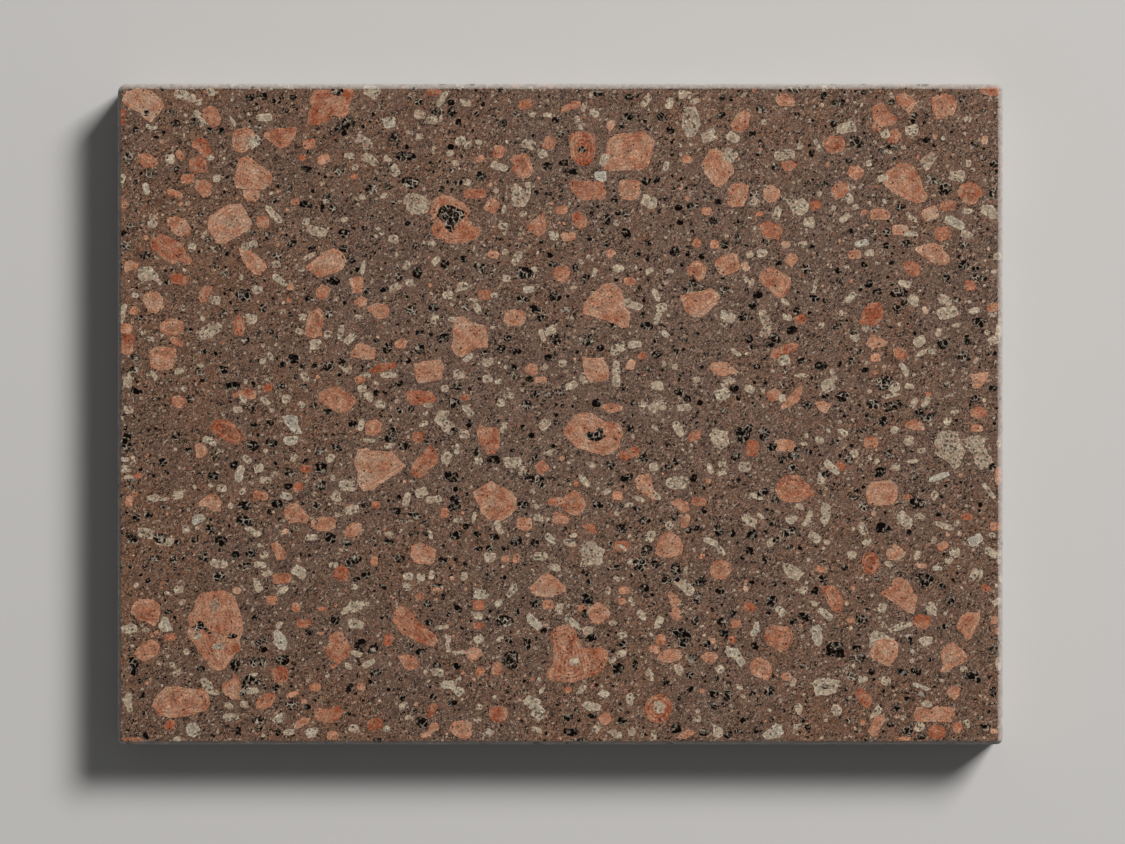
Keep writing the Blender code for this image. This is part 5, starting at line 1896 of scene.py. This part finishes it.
@dataclass(frozen=True)
class GroundmassFinish(StoneFinish):
    """The fine matrix between the crystals, grey purple in places and red brown in others.

    Attributes:
        purple_lit_centre: Where it is most purple, and the middle of a painted pool of light that grows
            darker away from it, in millimetres.
    """

    name: str = "groundmass"
    purple: Colour = (0.148, 0.088, 0.063)
    russet: Colour = (0.180, 0.091, 0.054)
    dark: Colour = (0.008, 0.005, 0.004)
    tan: Colour = (0.270, 0.168, 0.108)
    cream: Colour = (0.440, 0.355, 0.265)
    orange: Colour = (0.340, 0.095, 0.045)
    purple_lit_centre: tuple[float, float, float] = (18.0, 12.0, 15.0)

    def colour(self, graph: Graph) -> Socket:
        """Wide patches of two browns, filled with grains of random shade, and darkened by a painted pool
        of light away from one centre.

        Args:
            graph: The material's nodes.

        Returns:
            The colour.
        """
        place = graph.place()
        away = graph.node("VectorMath", place, self.purple_lit_centre, operation="DISTANCE").outputs["Value"]
        drift = graph.span(graph.noise(place, 0.045, 2.0), 0.35, 0.65, -0.35, 0.35)
        patches = graph.plus(graph.span(away, 10.0, 125.0, -0.1, 0.7), drift)
        patches = graph.plus(patches, graph.span(graph.noise(place, 0.21, 2.0), 0.3, 0.7, -0.3, 0.3))
        base = graph.mix(patches, self.purple, self.russet)
        # Painted pool of light: brightest near the purple centre and darker with distance from it.
        base = graph.shaded(base, graph.span(away, 10.0, 125.0, 1.05, 0.93))
        base = graph.clouded(base, place, 0.5, 3.0, 0.79, 1.21)
        base = graph.clouded(base, place, 1.8, 3.0, 0.72, 1.28)
        warped = graph.vector("ADD", place, graph.noise(place, 3.0))
        kind, shade, _ = graph.draws(warped, 2.3)
        fine, spark, _ = graph.draws(warped, 5.2)
        busy = graph.span(graph.noise(place, 0.28, 2.0), 0.36, 0.64, 0.45, 1.45)
        for draw, bottom, top in ((shade, -0.30, 0.30), (fine, -0.66, 0.70)):
            swing = graph.times(graph.span(draw, 0.0, 1.0, bottom, top), busy)
            base = graph.shaded(base, graph.plus(swing, 1.0))
        rarer = graph.plus(kind, graph.span(busy, 0.45, 1.45, 0.04, -0.035))
        for number, edge, full, strength, speck in (
            (rarer, 0.076, 0.070, 1.0, self.dark),
            (kind, 0.90, 0.92, 0.6, self.tan),
            (kind, 0.962, 0.966, 0.6, self.orange),
            (kind, 0.972, 0.978, 0.9, self.cream),
            (spark, 0.085, 0.075, 0.9, self.dark),
            (spark, 0.948, 0.956, 0.9, self.cream),
        ):
            base = graph.specked(base, number, edge, full, strength, speck)
        return base


@dataclass(frozen=True)
class FeldsparFinish(StoneFinish):
    """Alkali feldspar from pale pink to orange red, zoned and streaked."""

    name: str = "alkali_feldspar"
    pale: Colour = (0.470, 0.308, 0.214)
    salmon: Colour = (0.418, 0.196, 0.115)
    orange: Colour = (0.285, 0.076, 0.033)
    cream: Colour = (0.430, 0.340, 0.240)
    dark: Colour = (0.020, 0.010, 0.008)

    def colour(self, graph: Graph) -> Socket:
        """The tone's colour with growth rings, streaks along the crystal and a fine grain.

        The rings' brightness is a sine of the depth inside the crystal, made uneven by noise.

        Args:
            graph: The material's nodes.

        Returns:
            The colour.
        """
        place = graph.grain_place()
        drift = graph.span(graph.noise(place, 0.45, 2.0), 0.3, 0.7, -0.30, 0.42)
        tone = graph.plus(graph.attribute("tone"), drift)
        base = graph.mix(graph.span(tone, 0.0, 0.5), self.pale, self.salmon)
        base = graph.mix(graph.span(tone, 0.5, 1.0), base, self.orange)
        rim = graph.attribute("rim")
        uneven = graph.times(graph.noise(place, 0.7), 5.0)
        waves = graph.math("SINE", graph.plus(graph.times(rim, 8.5), uneven))
        swing = graph.times(waves, graph.attribute("zoning"))
        base = graph.shaded(base, graph.span(swing, -1.0, 1.0, 0.64, 1.36))
        streaks = graph.vector("MULTIPLY", place, (0.5, 3.2, 1.0))
        base = graph.clouded(base, streaks, 1.0, 3.0, 0.77, 1.23)
        kind, shade, _ = graph.draws(place, 2.9)
        fine, _, _ = graph.draws(place, 4.6)
        base = graph.grained(base, shade, 0.76, 1.22)
        base = graph.grained(base, fine, 0.60, 1.40)
        base = graph.shaded(base, graph.span(rim, 0.1, 0.6, 1.16, 1.0))
        base = graph.specked(base, graph.noise(place, 0.9, 2.0), 0.56, 0.70, 0.5, self.cream)
        base = graph.specked(base, kind, 0.026, 0.020, 0.9, self.dark)
        return graph.specked(base, kind, 0.95, 0.96, 0.5, self.cream)


@dataclass(frozen=True)
class PlagioclaseFinish(StoneFinish):
    """Plagioclase from brown and mottled to bluish white."""

    name: str = "plagioclase"
    brown: Colour = (0.410, 0.320, 0.230)
    cream: Colour = (0.485, 0.397, 0.287)
    white: Colour = (0.475, 0.440, 0.365)
    pink: Colour = (0.330, 0.165, 0.110)
    dark: Colour = (0.030, 0.020, 0.015)

    def colour(self, graph: Graph) -> Socket:
        """The tone's colour, clouded with pink and specked with dark, more so at low tones.

        Args:
            graph: The material's nodes.

        Returns:
            The colour.
        """
        place = graph.grain_place()
        tone = graph.attribute("tone")
        base = graph.mix(graph.span(tone, 0.1, 0.6), self.brown, self.cream)
        base = graph.mix(graph.span(tone, 0.6, 1.0), base, self.white)
        clouds = graph.span(graph.noise(place, 0.9, 3.0), 0.48, 0.62)
        base = graph.mix(graph.times(clouds, graph.span(tone, 0.0, 1.0, 0.8, 0.2)), base, self.pink)
        twins = graph.vector("MULTIPLY", place, (0.4, 4.0, 1.0))
        base = graph.clouded(base, twins, 1.0, 2.0, 0.76, 1.2)
        kind, shade, _ = graph.draws(place, 2.3)
        fine, _, _ = graph.draws(place, 4.6)
        base = graph.grained(base, shade, 0.66, 1.22)
        base = graph.grained(base, fine, 0.62, 1.37)
        base = graph.shaded(base, graph.span(graph.attribute("rim"), 0.1, 0.55, 1.05, 0.96))
        chance = graph.math("SUBTRACT", kind, graph.span(tone, 0.0, 1.0, 0.20, 0.0))
        return graph.specked(base, chance, 0.02, 0.0, 0.8, self.dark)


@dataclass(frozen=True)
class QuartzFinish(StoneFinish):
    """Dark quartz and mica: black with pale cracks, or grey and specked."""

    name: str = "quartz"
    honed_roughness: float = 0.34
    specular: float = 0.09
    ground_share: float = 0.55
    black: Colour = (0.0040, 0.0020, 0.0012)
    grey: Colour = (0.140, 0.096, 0.066)
    glint: Colour = (0.420, 0.350, 0.280)

    def colour(self, graph: Graph) -> Socket:
        """Black crossed by pale cracks, with grey patches that grow with the tone.

        Args:
            graph: The material's nodes.

        Returns:
            The colour.
        """
        place = graph.grain_place()
        tone = graph.attribute("tone")
        patches = graph.plus(graph.noise(place, 1.3, 2.0), graph.span(tone, 0.0, 1.0, -0.20, 0.05))
        base = graph.mix(graph.span(patches, 0.46, 0.60), self.black, self.grey)
        cells = graph.texture("TexVoronoi", place, 0.75, feature="DISTANCE_TO_EDGE")
        worn = graph.span(graph.noise(place, 0.8, 1.0), 0.42, 0.60)
        cracks = graph.times(graph.span(cells.outputs["Distance"], 0.09, 0.04), worn)
        cracks = graph.times(cracks, graph.span(tone, 0.0, 0.6, 0.30, 1.0))
        base = graph.mix(cracks, base, self.glint)
        kind, shade, _ = graph.draws(place, 2.8)
        base = graph.grained(base, shade, 0.7, 1.35)
        return graph.specked(base, kind, 0.93, 0.96, 0.55, self.glint)


@dataclass(frozen=True)
class Lamp:
    """A soft square lamp aimed at the slab.

    Attributes:
        azimuth: Bearing from +X towards +Y, in degrees.
        elevation: Height above the floor, in degrees.
        distance, size: Its distance from the slab, and its edge, in metres.
        power: In watts.
    """

    name: str
    azimuth: float
    elevation: float
    distance: float
    size: float
    power: float
    colour: Colour

    def build(self) -> bpy.types.Object:
        """Hangs the lamp and turns it towards the slab.

        Returns:
            The lamp.
        """
        light = bpy.data.lights.new(self.name, "AREA")
        light.size = self.size
        light.energy = self.power
        light.color = self.colour
        lamp = in_scene(self.name, light)
        bearing, height = math.radians(self.azimuth), math.radians(self.elevation)
        level = math.cos(height)
        offset = Vector((level * math.cos(bearing), level * math.sin(bearing), math.sin(height)))
        lamp.location = offset * self.distance
        lamp.rotation_euler = offset.to_track_quat("Z", "Y").to_euler()
        return lamp


@dataclass
class Studio:
    """The floor, the light and the camera, in metres.

    Attributes:
        floor_half: Half of the floor's edge.
        floor_depth: How far it lies below the slab's back.
        world: Brightness of the surroundings.
        field_width: Width of what the camera sees at the honed face.
        sensor: Width of the camera's sensor, in millimetres.
    """

    floor_half: float = 1.5
    floor_depth: float = 0.0002
    floor_colour: Colour = (0.62, 0.61, 0.60)
    floor_roughness: float = 0.9
    lamps: tuple[Lamp, ...] = (
        Lamp("key", 45.0, 43.0, 3.0, 0.96, 96.0, (1.0, 0.985, 0.96)),
        Lamp("fill", 215.0, 40.0, 1.6, 0.9, 0.5, (0.93, 0.96, 1.0)),
    )
    world: float = 0.10
    camera_place: tuple[float, float, float] = (0.0005, -0.0018, 1.515)
    field_width: float = 0.2553
    sensor: float = 36.0

    def floor(self) -> bpy.types.Object:
        """A plain pale floor just under the slab.

        Returns:
            The floor.
        """
        mesh = bpy.data.meshes.new("floor")
        h, z = self.floor_half, -self.floor_depth
        mesh.from_pydata([(-h, -h, z), (h, -h, z), (h, h, z), (-h, h, z)], [], [(0, 1, 2, 3)])
        paint = Graph("pale_floor")
        paint.feed(paint.shader.inputs["Base Color"], (*self.floor_colour, 1.0))
        paint.feed(paint.shader.inputs["Roughness"], self.floor_roughness)
        mesh.materials.append(paint.material)
        floor = in_scene("floor", mesh)
        return floor

    def camera(self) -> bpy.types.Object:
        """The camera, looking straight down with +Y up in the picture.

        Returns:
            The camera.
        """
        lens = bpy.data.cameras.new("camera")
        lens.sensor_width = self.sensor
        lens.lens = self.sensor * (self.camera_place[2] - CAD_BOX[1][2]) / self.field_width
        camera = in_scene("camera", lens)
        camera.location = self.camera_place
        bpy.context.scene.camera = camera
        return camera

    def build(self) -> None:
        """Sets up the whole studio."""
        self.floor()
        for lamp in self.lamps:
            lamp.build()
        self.camera()
        world = bpy.data.worlds.new("surroundings")
        world.use_nodes = True
        sky = world.node_tree.nodes["Background"].inputs
        sky["Color"].default_value = (1.0, 1.0, 1.0, 1.0)
        sky["Strength"].default_value = self.world
        bpy.context.scene.world = world
        bpy.context.scene.view_settings.view_transform = "Standard"


def main() -> None:
    """Builds the slab and its studio."""
    logging.basicConfig(level=logging.INFO, format="%(message)s")
    slab = RhyoliteSlab().build()
    logging.info("Built %s", slab.name)
    Studio().build()
    logging.info("Built the studio")


if __name__ == "__main__":
    main()
